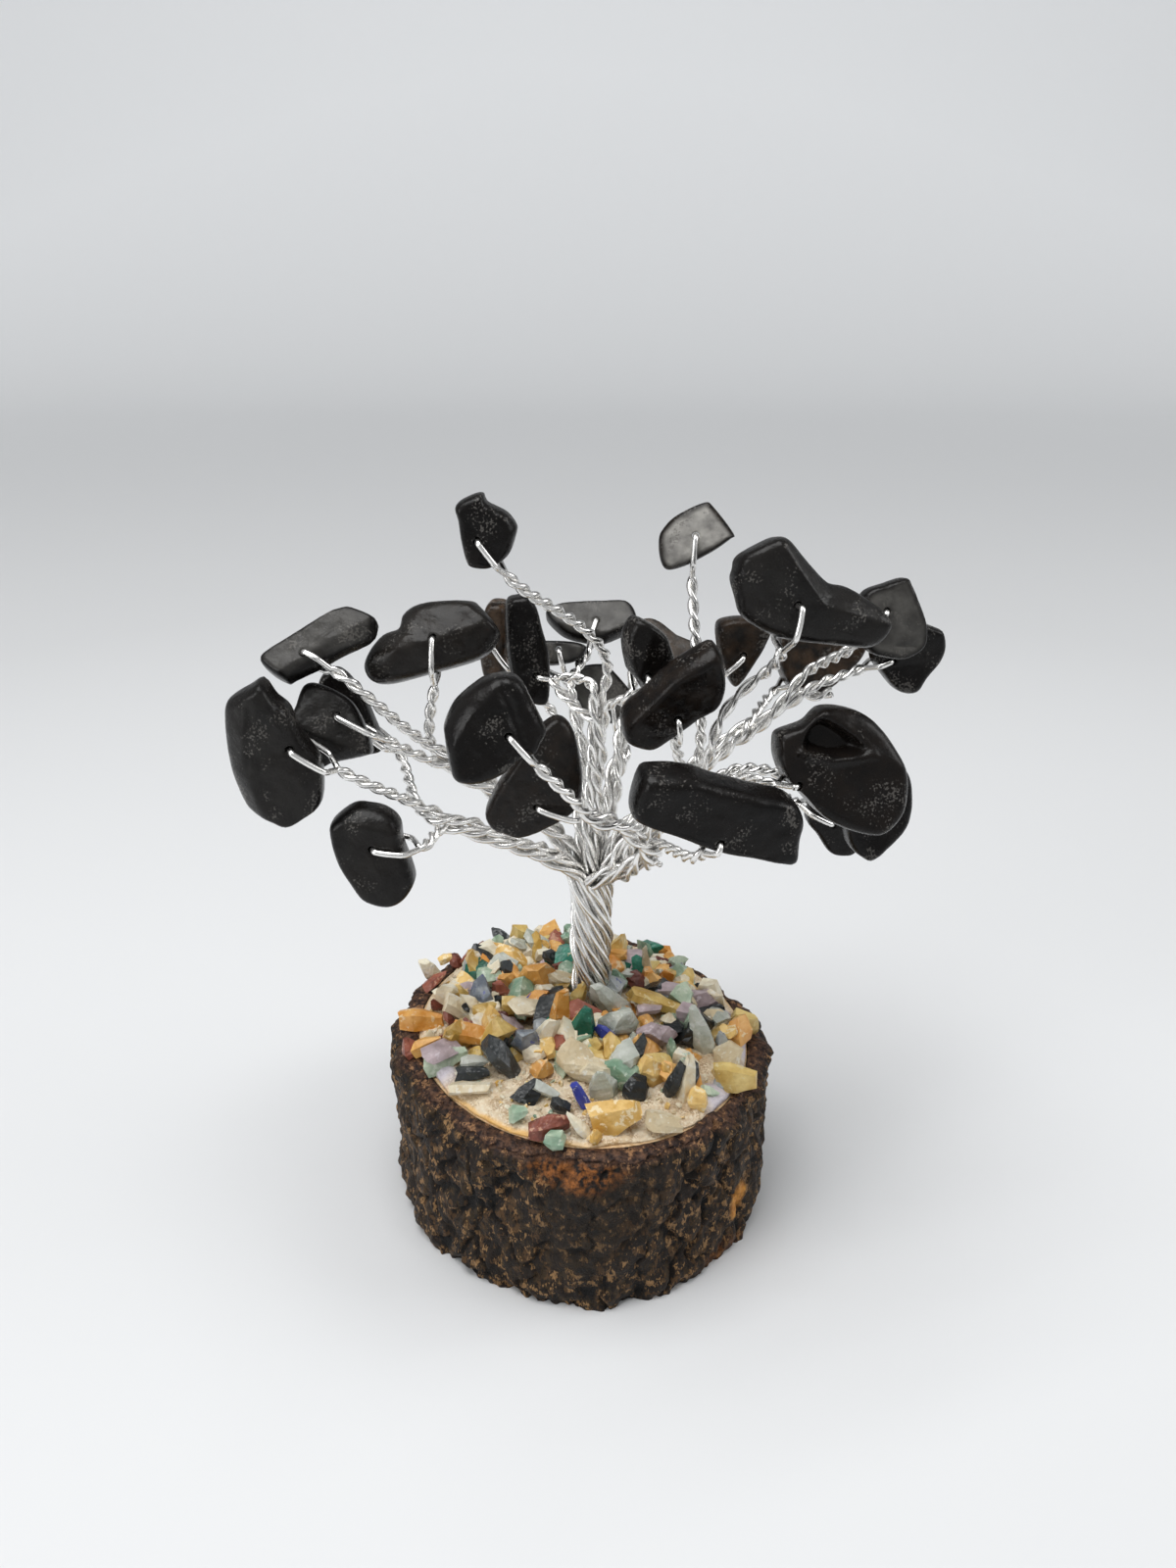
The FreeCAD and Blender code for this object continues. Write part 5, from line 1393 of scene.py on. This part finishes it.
# %% The leaf stones' outlines
STONE_PIXELS = {
    1: ((488, 552), (
        (465, 518), (481, 508), (493, 506), (497, 515), (517, 525), (527, 538), (527, 547),
        (520, 567), (507, 578), (495, 582), (481, 580), (476, 573), (471, 553), (468, 533)
    )),
    2: ((314, 680), (
        (269, 683), (293, 665), (335, 639), (353, 632), (363, 632), (384, 641), (385, 648),
        (380, 660), (357, 671), (326, 688), (298, 702), (293, 704), (279, 697)
    )),
    3: ((447, 655), (
        (374, 682), (382, 662), (394, 648), (409, 643), (412, 629), (424, 619), (444, 615),
        (481, 614), (492, 620), (511, 643), (511, 654), (497, 671), (467, 682), (441, 689),
        (402, 699), (382, 697)
    )),
    4: ((340, 728), (
        (304, 697), (321, 696), (352, 713), (368, 741), (375, 763), (368, 769), (332, 777),
        (321, 782), (307, 772), (298, 761), (291, 733), (297, 719)
    )),
    5: ((293, 767), (
        (224, 733), (234, 721), (251, 710), (260, 704), (267, 706), (276, 719), (290, 730),
        (298, 749), (308, 766), (323, 786), (326, 817), (322, 829), (309, 839), (290, 849),
        (273, 843), (253, 836), (242, 822), (231, 794), (225, 761)
    )),
    6: ((380, 840), (
        (335, 825), (340, 814), (357, 803), (374, 803), (394, 808), (406, 820), (409, 839),
        (420, 870), (420, 881), (410, 895), (394, 901), (371, 895), (357, 878), (343, 856)
    )),
    7: ((368, 738), (
        (330, 700), (343, 685), (357, 689), (375, 712), (388, 740), (396, 765), (383, 770),
        (370, 770), (352, 758), (340, 745)
    )),
    8: ((520, 740), (
        (458, 747), (458, 733), (469, 710), (489, 692), (506, 683), (526, 681), (537, 688),
        (544, 702), (554, 721), (561, 738), (556, 749), (548, 761), (537, 763), (517, 780),
        (497, 789), (481, 791), (467, 787), (462, 772)
    )),
    9: ((546, 828), (
        (562, 747), (573, 749), (583, 763), (591, 797), (591, 822), (584, 836), (565, 848),
        (531, 862), (514, 859), (500, 853), (493, 841), (497, 828), (511, 803), (531, 775),
        (545, 758)
    )),
    10: ((508, 655), (
        (498, 619), (508, 615), (518, 619), (522, 640), (521, 665), (518, 688), (508, 693),
        (497, 690), (493, 670), (492, 650)
    )),
    11: ((546, 692), (
        (517, 620), (530, 613), (540, 613), (548, 625), (553, 645), (560, 670), (561, 700),
        (558, 721), (545, 722), (530, 715), (522, 692), (517, 660)
    )),
    12: ((600, 640), (
        (548, 630), (560, 622), (580, 619), (605, 618), (630, 618), (640, 630), (638, 642),
        (610, 656), (590, 656), (565, 648)
    )),
    13: ((590, 658), (
        (547, 657), (562, 650), (585, 649), (610, 651), (619, 657), (612, 668), (592, 674),
        (570, 674), (555, 668)
    )),
    14: ((650, 636), (
        (638, 630), (648, 624), (662, 629), (681, 643), (705, 653), (723, 664), (705, 671),
        (682, 676), (660, 664), (645, 648)
    )),
    15: ((650, 690), (
        (633, 663), (636, 647), (644, 636), (657, 640), (670, 649), (676, 660), (684, 689),
        (675, 702), (659, 717), (646, 699), (638, 689)
    )),
    16: ((628, 720), (
        (586, 699), (592, 688), (601, 682), (621, 681), (630, 688), (645, 705), (656, 719),
        (650, 733), (639, 741), (618, 740), (600, 736), (592, 722)
    )),
    17: ((690, 732), (
        (637, 751), (640, 738), (659, 720), (680, 699), (701, 683), (725, 669), (735, 670),
        (740, 689), (740, 710), (735, 723), (717, 733), (696, 748), (672, 764), (659, 767),
        (641, 761)
    )),
    18: ((709, 547), (
        (671, 553), (674, 542), (688, 527), (717, 513), (727, 517), (748, 545), (745, 550),
        (730, 561), (714, 570), (698, 578), (683, 582), (676, 579), (672, 568)
    )),
    19: ((797, 603), (
        (740, 576), (742, 566), (745, 553), (766, 540), (782, 533), (793, 536), (808, 553),
        (834, 579), (855, 584), (881, 602), (892, 615), (892, 629), (884, 642), (871, 647),
        (842, 644), (803, 640), (785, 635), (766, 626), (751, 613), (745, 595)
    )),
    20: ((906, 630), (
        (889, 610), (908, 603), (928, 597), (934, 605), (947, 639), (949, 657), (944, 670),
        (926, 680), (908, 678), (892, 673), (884, 660), (878, 640), (880, 625)
    )),
    21: ((905, 680), (
        (889, 664), (905, 650), (930, 642), (950, 647), (957, 652), (960, 668), (955, 683),
        (942, 699), (934, 712), (923, 715), (910, 710), (897, 694), (888, 680)
    )),
    22: ((756, 665), (
        (731, 636), (745, 629), (765, 629), (785, 636), (780, 655), (768, 675), (755, 693),
        (746, 697), (738, 680), (732, 660)
    )),
    23: ((800, 705), (
        (786, 690), (789, 660), (796, 642), (815, 640), (833, 641), (855, 650), (872, 662),
        (871, 678), (855, 698), (833, 716), (812, 721), (796, 712)
    )),
    24: ((733, 856), (
        (647, 835), (649, 819), (657, 798), (667, 792), (706, 793), (732, 801), (777, 812),
        (803, 817), (816, 827), (820, 840), (816, 856), (813, 880), (803, 883), (777, 877),
        (732, 868), (698, 856), (654, 841)
    )),
    25: ((792, 803), (
        (773, 762), (777, 751), (803, 741), (816, 728), (829, 725), (850, 728), (868, 736),
        (884, 751), (897, 772), (905, 791), (905, 819), (897, 840), (879, 855), (855, 853),
        (824, 840), (800, 815), (782, 797), (774, 778)
    )),
    26: ((872, 815), (
        (890, 758), (904, 768), (918, 788), (921, 809), (918, 835), (902, 856), (881, 874),
        (871, 872), (858, 860), (854, 835), (860, 800), (872, 770)
    )),
    27: ((845, 835), (
        (820, 835), (830, 848), (842, 866), (855, 870), (869, 866), (880, 845), (876, 822),
        (858, 806), (838, 808), (826, 820)
    )),
}

# %% From pixels to an outline
OUTLINE_COLUMNS = 132
OUTLINE_SMOOTHING = 6
OUTLINE_STEPS = 12


def leaf_joint(number):
    """A leaf's bore and its stone's right, up and facing directions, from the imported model."""
    joint = next(j for j in frame["joints"] if j["child"] == f"leaf_{number:02d}")
    facing = directed(np.array(joint["axis"], float))
    right = directed(np.cross(UP, facing))
    return np.array(joint["pos_m"]) / MM, np.array([right, np.cross(facing, right), facing])


def flat_outline(number, pixels):
    """Pixels of a stone, laid on the plane of its face, as right and up from its bore."""
    bore, axes = leaf_joint(number)
    moved = np.array(pixels, float) - STONE_PIXELS[number][0] + pixel_of(bore)
    return (seen_on_plane(moved, bore, axes[2]) - bore) @ axes[:2].T


def reach_by_bearing(number):
    """The outline as a reach for each of many even bearings from the bore."""
    smooth = line_through(flat_outline(number, STONE_PIXELS[number][1]), OUTLINE_STEPS, closed=True)
    for _ in range(OUTLINE_SMOOTHING):
        smooth = (np.roll(smooth, 1, axis=0) + 2 * smooth + np.roll(smooth, -1, axis=0)) / 4
    bearing = bearing_of(smooth)
    order = np.argsort(bearing)
    reach = np.linalg.norm(smooth, axis=1)[order]
    even = even_bearings(OUTLINE_COLUMNS)
    return even, np.interp(even, bearing[order], reach, period=FULL_TURN)


# %% [markdown]
# Tumbling rounds a stone's edges but keeps its main planes. So a stone's front and back are
# nearly flat, and some are folded along lines: beyond a line, one side falls away. A fold is
# two or more pixels, and the side on its left falls by the slope. A groove is a line too, with
# its depth and its width, and a dent is a hollow inside a few pixels. The grid runs from the
# bore over the back, round the edge and over the front to the bore again, so the stone is
# closed round its hole.

# %% Folds, grooves and dents
FOLDS = {
    1: ((((516, 528), (521, 546), (514, 566)), 0.7), (((480, 510), (489, 506), (496, 508)), 0.8)),
    2: ((((384, 646), (322, 679), (295, 697)), 0.9),),
    3: (
        (((397, 668), (446, 660), (511, 632)), 0.45),
        (((511, 636), (397, 672)), 0.45),
        (((398, 690), (425, 641)), 0.5),
        (((468, 614), (508, 640)), 1.2),
    ),
    4: ((((373, 765), (318, 744), (291, 733)), 0.7), (((291, 737), (373, 767)), 0.35)),
    5: (
        (((262, 822), (250, 790), (246, 755), (250, 715)), 0.9),
        (((280, 730), (300, 790), (318, 830)), 0.35),
    ),
    6: ((((351, 814), (373, 817), (401, 823)), 0.7), (((405, 827), (418, 863)), 0.8)),
    8: (
        (((515, 688), (541, 762)), 0.3),
        (((466, 748), (487, 713), (512, 687)), 0.9),
        (((537, 693), (555, 738)), 0.8),
    ),
    9: ((((551, 770), (590, 826)), 0.6),),
    12: ((((632, 651), (615, 653), (597, 650), (579, 646)), 0.8),),
    13: ((((612, 668), (592, 671), (570, 670)), 0.8),),
    15: ((((641, 702), (643, 689), (654, 645)), 0.5), (((669, 652), (674, 672), (673, 696)), 0.7)),
    16: ((((645, 728), (610, 733)), 0.7),),
    17: ((((642, 745), (688, 694), (730, 673)), 1.0), (((735, 672), (742, 700), (730, 722)), 0.8)),
    18: (
        (((684, 578), (676, 553), (690, 530)), 0.8),
        (((716, 518), (744, 545)), 0.8),
        (((740, 556), (690, 576)), 0.8),
        (((676, 575), (745, 550)), 0.35),
    ),
    19: (
        (((773, 538), (794, 566), (816, 601), (888, 622)), 0.8),
        (((888, 622), (816, 601), (794, 566), (773, 538)), 0.4),
    ),
    20: ((((890, 678), (872, 655)), 0.8),),
    21: ((((890, 690), (950, 680)), -0.3),),
    23: ((((795, 647), (870, 668)), 0.8),),
    24: (
        (((660, 797), (730, 801), (795, 815), (815, 828)), 0.9),
        (((812, 876), (760, 872), (695, 853), (650, 838)), 0.6),
    ),
    25: ((((817, 731), (869, 770), (904, 787)), 0.45),),
}
GROOVES = {
    2: (((324, 671), (351, 651)), 0.12, 0.25),
    5: (((252, 722), (250, 790)), 0.2, 0.5),
    8: (((511, 689), (522, 710), (532, 743), (541, 762)), 0.5, 0.6),
    9: (((549, 829), (592, 830)), 0.25, 0.35),
    20: (((916, 665), (936, 666)), 0.25, 0.3),
    25: (((795, 770), (828, 779), (869, 772)), -0.5, 0.5),
}
DENTS = {
    25: (((792, 768), (830, 779), (872, 771), (850, 749), (816, 730), (800, 744)), 2.6),
}

# %% The leaf stones' faces and edges
BORE_RADIUS = 0.46
BORE_CHAMFER = 0.14
FACE_ROWS = 26
FACE_START = 1.25
FACE_POWER = 0.8
EDGE_ROWS = 9
EDGE_POWER = 3.2
EDGE_SHARE = 0.3
EDGE_SLANT = 0.35
EDGE_LIMIT = 0.7
FOLD_ROUND = 0.13
DENT_ROUND = 2.2
DENT_SLOPE = 1.1
FRONT_SWELL = 0.05
BACK_SWELL = 0.07
GRAIN = 0.045
LAYER_GAP = 7.0
LEAST_SHARE = 0.33
LEAST_ROUND = 0.3
# The dulling and the painted grey reflection start so far inside the rim, and rise over so far.
PLAIN_RIM = 0.35
DULL_AND_SHEEN_RISE = 0.65


def left_of(places, line):
    """How far each place is to the left of a bent line: the least of its stretches' gaps where
    the line turns left, and the greatest where it turns right."""
    ways = directed(np.diff(line, axis=0))
    gaps = []
    for start, way in zip(line, ways):
        offset = places - start
        gaps.append(way[0] * offset[..., 1] - way[1] * offset[..., 0])
    turns_left = ways[0][0] * ways[-1][1] - ways[0][1] * ways[-1][0] >= 0
    return np.minimum.reduce(gaps) if turns_left else np.maximum.reduce(gaps)


def beside(places, line):
    """How far each place is from a bent line: the least of the gaps to its stretches."""
    gaps = []
    for start, end in zip(line, line[1:]):
        way = end - start
        share = np.clip(((places - start) @ way) / (way @ way), 0, 1)
        gaps.append(np.linalg.norm(places - start - share[..., None] * way, axis=-1))
    return np.minimum.reduce(gaps)


def stone_faces(number, places, thickness):
    """The heights of a stone's front and back over each place of its plane: flat, with a slow
    swell, less its folds, its groove and its dent, and never thinner than a third of its
    thickness."""
    solid = with_height(places, LAYER_GAP * number)
    grain = GRAIN * rough(solid, cell=1.1, seed=140 + number)
    front_swell = thickness * FRONT_SWELL * rough(solid, cell=4.5, seed=90 + number)
    back_swell = thickness * BACK_SWELL * rough(solid, cell=4.0, seed=190 + number)
    front = thickness / 2 + front_swell + grain
    back = -thickness / 2 + back_swell - grain
    for pixels, slope in FOLDS.get(number, ()):
        gap = left_of(places, flat_outline(number, pixels))
        front = front - slope * FOLD_ROUND * np.logaddexp(0, gap / FOLD_ROUND)
    if number in GROOVES:
        pixels, depth, width = GROOVES[number]
        gap = beside(places, flat_outline(number, pixels))
        front = front - depth * bell(gap, width)
    if number in DENTS:
        pixels, depth = DENTS[number]
        corners = flat_outline(number, pixels)
        pairs = np.stack([corners, np.roll(corners, -1, axis=0)], axis=1)
        sides = [left_of(places, pair) for pair in pairs]
        inside = -np.logaddexp.reduce([-DENT_ROUND * side for side in sides]) / DENT_ROUND
        front = front - depth * eased(climb(inside, 0, DENT_SLOPE))
    least = back + thickness * LEAST_SHARE
    return least + np.logaddexp(0, (front - least) / LEAST_ROUND) * LEAST_ROUND, back


def stone_thickness(number):
    """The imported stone's extent along its facing direction."""
    bore, axes = leaf_joint(number)
    return np.ptp((node_points(f"leaf_stone_{number:02d}") - bore) @ axes[2])


def stone_grid(number):
    """The stone's skin, and how far inside its rim each point is, up to 1 at a millimetre."""
    bore, axes = leaf_joint(number)
    thickness = stone_thickness(number)
    bearing, reach = reach_by_bearing(number)
    way = way_at(bearing)
    rim = way * reach[:, None]
    tangent = directed(np.roll(rim, -1, axis=0) - np.roll(rim, 1, axis=0))
    square = np.abs(way[:, 0] * tangent[:, 1] - way[:, 1] * tangent[:, 0])
    rounding = EDGE_SHARE * thickness / np.maximum(square, EDGE_SLANT)
    rounding = np.minimum(rounding, EDGE_LIMIT * (reach - BORE_RADIUS))
    first = BORE_RADIUS * FACE_START
    face = np.linspace(0, 1, FACE_ROWS)[:, None] ** FACE_POWER
    flat = first + face * (reach - rounding - first)
    turn = np.linspace(0, math.pi / 2, EDGE_ROWS)[1:, None]
    edge = reach - rounding + np.sin(turn) ** (2 / EDGE_POWER) * rounding
    radius = np.vstack([np.full((1, len(reach)), BORE_RADIUS), flat, edge])
    lift = np.vstack([np.ones((1 + FACE_ROWS, 1)), np.cos(turn) ** (2 / EDGE_POWER)])
    places = way * radius[..., None]
    front, back = stone_faces(number, places, thickness)
    middle = (front + back) / 2
    front = middle + (front - middle) * lift
    back = middle + (back - middle) * lift
    front[0] -= BORE_CHAMFER
    back[0] += BORE_CHAMFER
    skin = np.concatenate([with_height(places, back), with_height(places, front)[-2::-1]])
    # How far in from the rim the dulling and the painted reflection reach, up to 1.
    inward = climb(reach - radius, PLAIN_RIM, DULL_AND_SHEEN_RISE)
    return bore + skin @ axes, np.concatenate([inward, inward[-2::-1]])


# %% [markdown]
# The stone is black and tumbled to a satin polish, and some pieces are brown. Where its faces
# were bruised there are clusters of fine grey specks and shallow pits, and thin flat ones are
# dulled all over but the rim by fine scratches. Their grey is mostly a painted reflection of the
# bright light above, which faces that look up catch. Two numbers for each stone say how brown
# it is and how dull, with that painted reflection, so that all of them share one material.

# %% Black stone
# For each stone: how brown it is, and how dull, with a painted grey reflection of the light above.
STONE_LOOKS = {
    2: (0.0, 0.18), 3: (0.05, 0.04), 4: (0.0, 0.07), 5: (0.0, 0.04), 6: (0.0, 0.03),
    9: (0.1, 0.02), 10: (1.0, 0.07), 12: (0.0, 0.28), 13: (0.0, 0.28), 14: (0.5, 0.14),
    16: (0.0, 0.28), 17: (0.1, 0.0), 18: (0.1, 1.0), 19: (0.0, 0.03), 20: (0.0, 0.28),
    22: (0.4, 0.03), 23: (0.6, 0.03), 25: (0.04, 0.0),
}
BLACK_COLOURS = ((0.003, 0.0028, 0.0028), (0.0085, 0.007, 0.0062))
BROWN_COLOURS = ((0.006, 0.004, 0.003), (0.075, 0.044, 0.024))
# The grey of dull faces, mostly a painted reflection of the light above.
DULL_AND_SHEEN_COLOURS = ((0.13, 0.125, 0.118), (0.34, 0.33, 0.305))
BRUISE_COLOUR = (0.12, 0.113, 0.104)
POLISHED, SATIN = 0.17, 0.36
DUST_ROUGHNESS = 0.25

leaf_material, tree, sockets = new_material("leaf_stone", Specular_IOR_Level=0.17)
drift = shared(tree, cloud_group, Size=5.0, Contrast=2.2)
black = blend_colours(tree, drift, *BLACK_COLOURS)
brown = blend_colours(tree, shared(tree, cloud_group, Size=1.7, Contrast=3.5), *BROWN_COLOURS)
black = blend_colours(tree, point_number(tree, "brown"), black, brown)
# Painted reflection: the black turns grey where a stone is dull, for the light above that its faces
# catch.
dull_and_sheen_shade = blend_colours(tree, shared(tree, cloud_group, Size=2.2, Contrast=2.5), *DULL_AND_SHEEN_COLOURS)
black = blend_colours(tree, point_number(tree, "dull_and_sheen"), black, dull_and_sheen_shade)
bruises = shared(tree, speck_group, Size=0.3, Share=0.075, Patch=3.6)
black = laid_over(tree, black, BRUISE_COLOUR, bruises, most=0.7)
polish = shared(tree, cloud_group, Size=1.6, Contrast=2.0)
polish = ranged(tree, polish, 0.0, 1.0, POLISHED, SATIN)
dull_and_sheen = ranged(tree, point_number(tree, "dull_and_sheen"), 0.0, 1.0, 0.0, DUST_ROUGHNESS)
pits = bumped(tree, shared(tree, pit_group, Size=0.7, Softness=0.75), depth=0.06)
pits = bumped(tree, shared(tree, pit_group, Size=0.25, Softness=0.7), depth=0.03, before=pits)
roughness = maths(tree, "ADD", polish, dull_and_sheen)
connect(tree, sockets, Base_Color=black, Roughness=roughness, Normal=pits)

for number in STONE_PIXELS:
    skin, inward = stone_grid(number)
    brown, dull_and_sheen = STONE_LOOKS.get(number, (0.0, 0.0))
    looks = {"brown": np.full(inward.shape, brown), "dull_and_sheen": dull_and_sheen * inward}
    stone = grids_piece(f"leaf_{number:02d}_stone", skin[None], wrap_rows=True, numbers=looks)
    dress(stone, f"leaf_{number:02d}", leaf_material, f"leaf_stone_{number:02d}")
print("leaf stones", len(STONE_PIXELS))

# %% [markdown]
# Each leaf's wire is one unbroken line: up from the trunk's foot, along its bough, out on its
# twig, over the stone's edge, through the bore, and back down beside itself. Its two legs wind
# round a middle line that they share. In the trunk they lie still in the rope, on the bough
# they are twisted slowly, and on the twig tightly. At the stone the line runs through a few
# bends, each so far out from the bore and so high over the stone's middle plane.

# %% The wires' paths
WIRE_RADIUS = 0.38
WIRE_POINTS = 900
WIRE_SIDES = 8
PAIR_REACH = 0.385
ROPE_REACH_TRUNK = 0.56
ROPE_REACH_BOUGH = 0.82
ROPE_WIDENING = 5.0
ROPE_PITCH = 19.0
BOUGH_PITCH = 7.5
TWIST_PITCH = 4.4
PITCH_STRAY = 0.16
TWIST_START = TRUNK_TOP - TRUNK_BOTTOM + 2.0
TWIST_ONSET = 6.0
FORK_SPAN = 3.0
NECK_GAP = 1.3
NECK_LEAD = 0.2
FORK_LEAD = 0.35
STEM_STEP = 0.25
TWIG_STEPS = 80
LOOP_STEPS = 10
SWING_STEPS = 15
KINK_HEIGHT = 0.13
KINK_ONSET = 8.0
KINK_END = 4.0
LOOP_GAP = 0.12
SHORT_LOOP = 2.4
LEAF_SWING = math.radians(11.0)


def passing(run, mark, width):
    """0 before a mark on the way and 1 after it, with the change spread over the width."""
    return np.clip((run - mark) / width + 0.5, 0, 1)


def stem_line(middle, stem):
    """One stem of a bough: it winds round the bough's middle line, a third of a turn from the
    next, closer in the trunk than on the bough."""
    run = run_along(middle)
    share = passing(run, run[TRUNK_STEPS], ROPE_WIDENING)
    reach = ROPE_REACH_TRUNK + (ROPE_REACH_BOUGH - ROPE_REACH_TRUNK) * share
    turn = FULL_TURN * (stem / 3 - run / ROPE_PITCH)
    return middle + reach[:, None] * wound(*sides_of(middle), turn)


def swung_reach(number, towards):
    """The furthest that the stone's outline comes in one direction from its bore while the
    stone turns on its wire, so that the loop stays clear of it."""
    bearing, reach = reach_by_bearing(number)
    turned = towards + np.linspace(-LEAF_SWING, LEAF_SWING, SWING_STEPS)
    return float(np.interp(turned, bearing, reach, period=FULL_TURN).max())


def twisted_turn(line, run, number, fork_run):
    """How far the two legs have turned at each point of their middle line: slowly in the rope,
    faster from the trunk's top on, and fastest after the fork, with an uneven pitch."""
    tight = climb(run, TWIST_START, TWIST_ONSET)
    on_twig = passing(run, fork_run, FORK_SPAN)
    pitch = BOUGH_PITCH + (TWIST_PITCH - BOUGH_PITCH) * on_twig
    pitch = pitch * (1 + PITCH_STRAY * noise(line, cell=7.0, seed=340 + number))
    rate = -FULL_TURN * (tight / pitch + (1 - tight) / ROPE_PITCH)
    return np.concatenate([[0.0], np.cumsum(rate[1:] * np.diff(run))])


# %% One leaf's wire
def leaf_wire(number, bough, stem, share):
    """The whole wire of one leaf, as even points."""
    line = stem_line(bough_middle(*bough), stem)
    line = line[: TRUNK_STEPS + round(share * BOUGH_STEPS) + 1]
    fork = line[-1]
    bore, axes = leaf_joint(number)
    facing = axes[2]
    flat = directed(fork - bore - facing * ((fork - bore) @ facing))
    reach = swung_reach(number, math.atan2(flat @ axes[1], flat @ axes[0]))
    neck = bore + flat * (reach + NECK_GAP)
    span = np.linalg.norm(fork - neck)
    leave = fork + directed(fork - line[-6]) * span * FORK_LEAD
    arrive = neck + flat * span * NECK_LEAD
    twig = bezier(fork, leave, arrive, neck, np.linspace(0, 1, TWIG_STEPS)[1:])
    fork_run = run_along(line)[-1]
    line = np.vstack([line, twig])
    line = even_steps(line, int(run_along(line)[-1] / STEM_STEP))
    kinks = np.column_stack([noise(line, cell=5.0, seed=300 + number + k) for k in range(3)])
    run = run_along(line)
    ease = climb(run, 0, KINK_ONSET) * climb(run[-1] - run, 0, KINK_END)
    line = line + KINK_HEIGHT * kinks * ease[:, None]
    side, across = sides_of(line)
    turn = twisted_turn(line, run, number, fork_run)
    wanted = math.atan2(facing @ across[-1], facing @ side[-1])
    miss = (wanted - turn[-1] + math.pi) % FULL_TURN - math.pi
    pair = PAIR_REACH * wound(side, across, turn + miss * run / run[-1])
    half = stone_thickness(number) / 2
    over = half + WIRE_RADIUS + LOOP_GAP
    bends = [
        (reach + 0.62, 0.55 * over),
        (reach - 0.15, 0.92 * over),
        (0.55 * reach, 1.02 * over),
        (0.9, over),
        (0.25, 0.9 * over),
        (0.0, 0.45 * half),
    ]
    if reach < SHORT_LOOP:
        bends.pop(2)
    front = np.array([bore + flat * out + facing * high for out, high in bends])
    back = np.array([bore + flat * out - facing * high for out, high in reversed(bends)])
    loop = np.vstack([line[-1] + pair[-1], front, back, line[-1] - pair[-1]])
    loop = line_through(loop, LOOP_STEPS)[1:-1]
    return even_steps(np.vstack([line + pair, loop, (line - pair)[::-1]]), WIRE_POINTS)


# %% [markdown]
# A few wires were cut and their ends left sticking out, at the places where the picture shows
# them. A row gives the bough, the share of it where the end leaves, the way that it points
# (round and up, in degrees), and its length as a share of the crown's radius.

# %% Cut ends
CUT_ENDS = (
    ("left_high", 0.9, (20, 40), 0.07),
    ("centre", 0.8, (165, 35), 0.22),
    ("right", 0.95, (0, -12), 0.12),
    ("right_high", 0.5, (-140, 60), 0.1),
    ("front", 0.25, (-35, -10), 0.05),
)
CURL_FROM = 0.6
CURL_RISE = 0.5
END_POINTS = 60
END_STEPS = 20


def cut_end(start, direction_degrees, length):
    """Two wires twisted round a short line that curls up towards its end."""
    round_angle, up_angle = np.radians(direction_degrees)
    away = with_height(math.cos(up_angle) * way_at(round_angle), math.sin(up_angle))
    curl = directed(away + CURL_RISE * UP)
    bend = start + away * length * CURL_FROM
    line = line_through(np.array([start, bend, bend + curl * length * (1 - CURL_FROM)]), END_STEPS)
    turn = -FULL_TURN * run_along(line) / TWIST_PITCH
    offset = PAIR_REACH * wound(*sides_of(line), turn)
    return [even_steps(line + offset, END_POINTS), even_steps(line - offset, END_POINTS)]


# %% [markdown]
# Bright silvered copper wire: a metal that is nearly white, with a fine satin from drawing and
# a little tarnish in patches. The strands' own shading gives most of the look.

# %% Silver wire
SILVER_COLOURS = ((0.93, 0.92, 0.9), (0.8, 0.79, 0.77))

wire_material, tree, sockets = new_material("silver_wire", Metallic=1.0)
tarnish = shared(tree, cloud_group, Size=1.4, Contrast=2.6)
silver = blend_colours(tree, tarnish, *SILVER_COLOURS)
satin = ranged(tree, tarnish, 0.0, 1.0, 0.16, 0.32)
drawn = bumped(tree, shared(tree, pit_group, Size=0.12, Softness=0.8), depth=0.008)
connect(tree, sockets, Base_Color=silver, Roughness=satin, Normal=drawn)

for name, (*bough, forks) in BOUGHS.items():
    paths = np.array(
        [leaf_wire(leaf, bough, stem, share) for stem, (leaf, share) in enumerate(forks.items())]
    )
    wires = [grids_piece(f"{name}_wires", tubes(paths, WIRE_RADIUS, WIRE_SIDES))]
    middle = bough_middle(*bough)
    for owner, share, direction, length_share in CUT_ENDS:
        if owner == name:
            start = middle[TRUNK_STEPS + round(share * BOUGH_STEPS)]
            ends = np.array(cut_end(start, direction, length_share * CROWN[0]))
            wires.append(grids_piece(f"{name}_end", tubes(ends, WIRE_RADIUS, WIRE_SIDES)))
    piece = joined(f"bough_{name}_wires", wires)
    dress(piece, TREE, wire_material, f"bough_{name}")
print("boughs", len(BOUGHS))
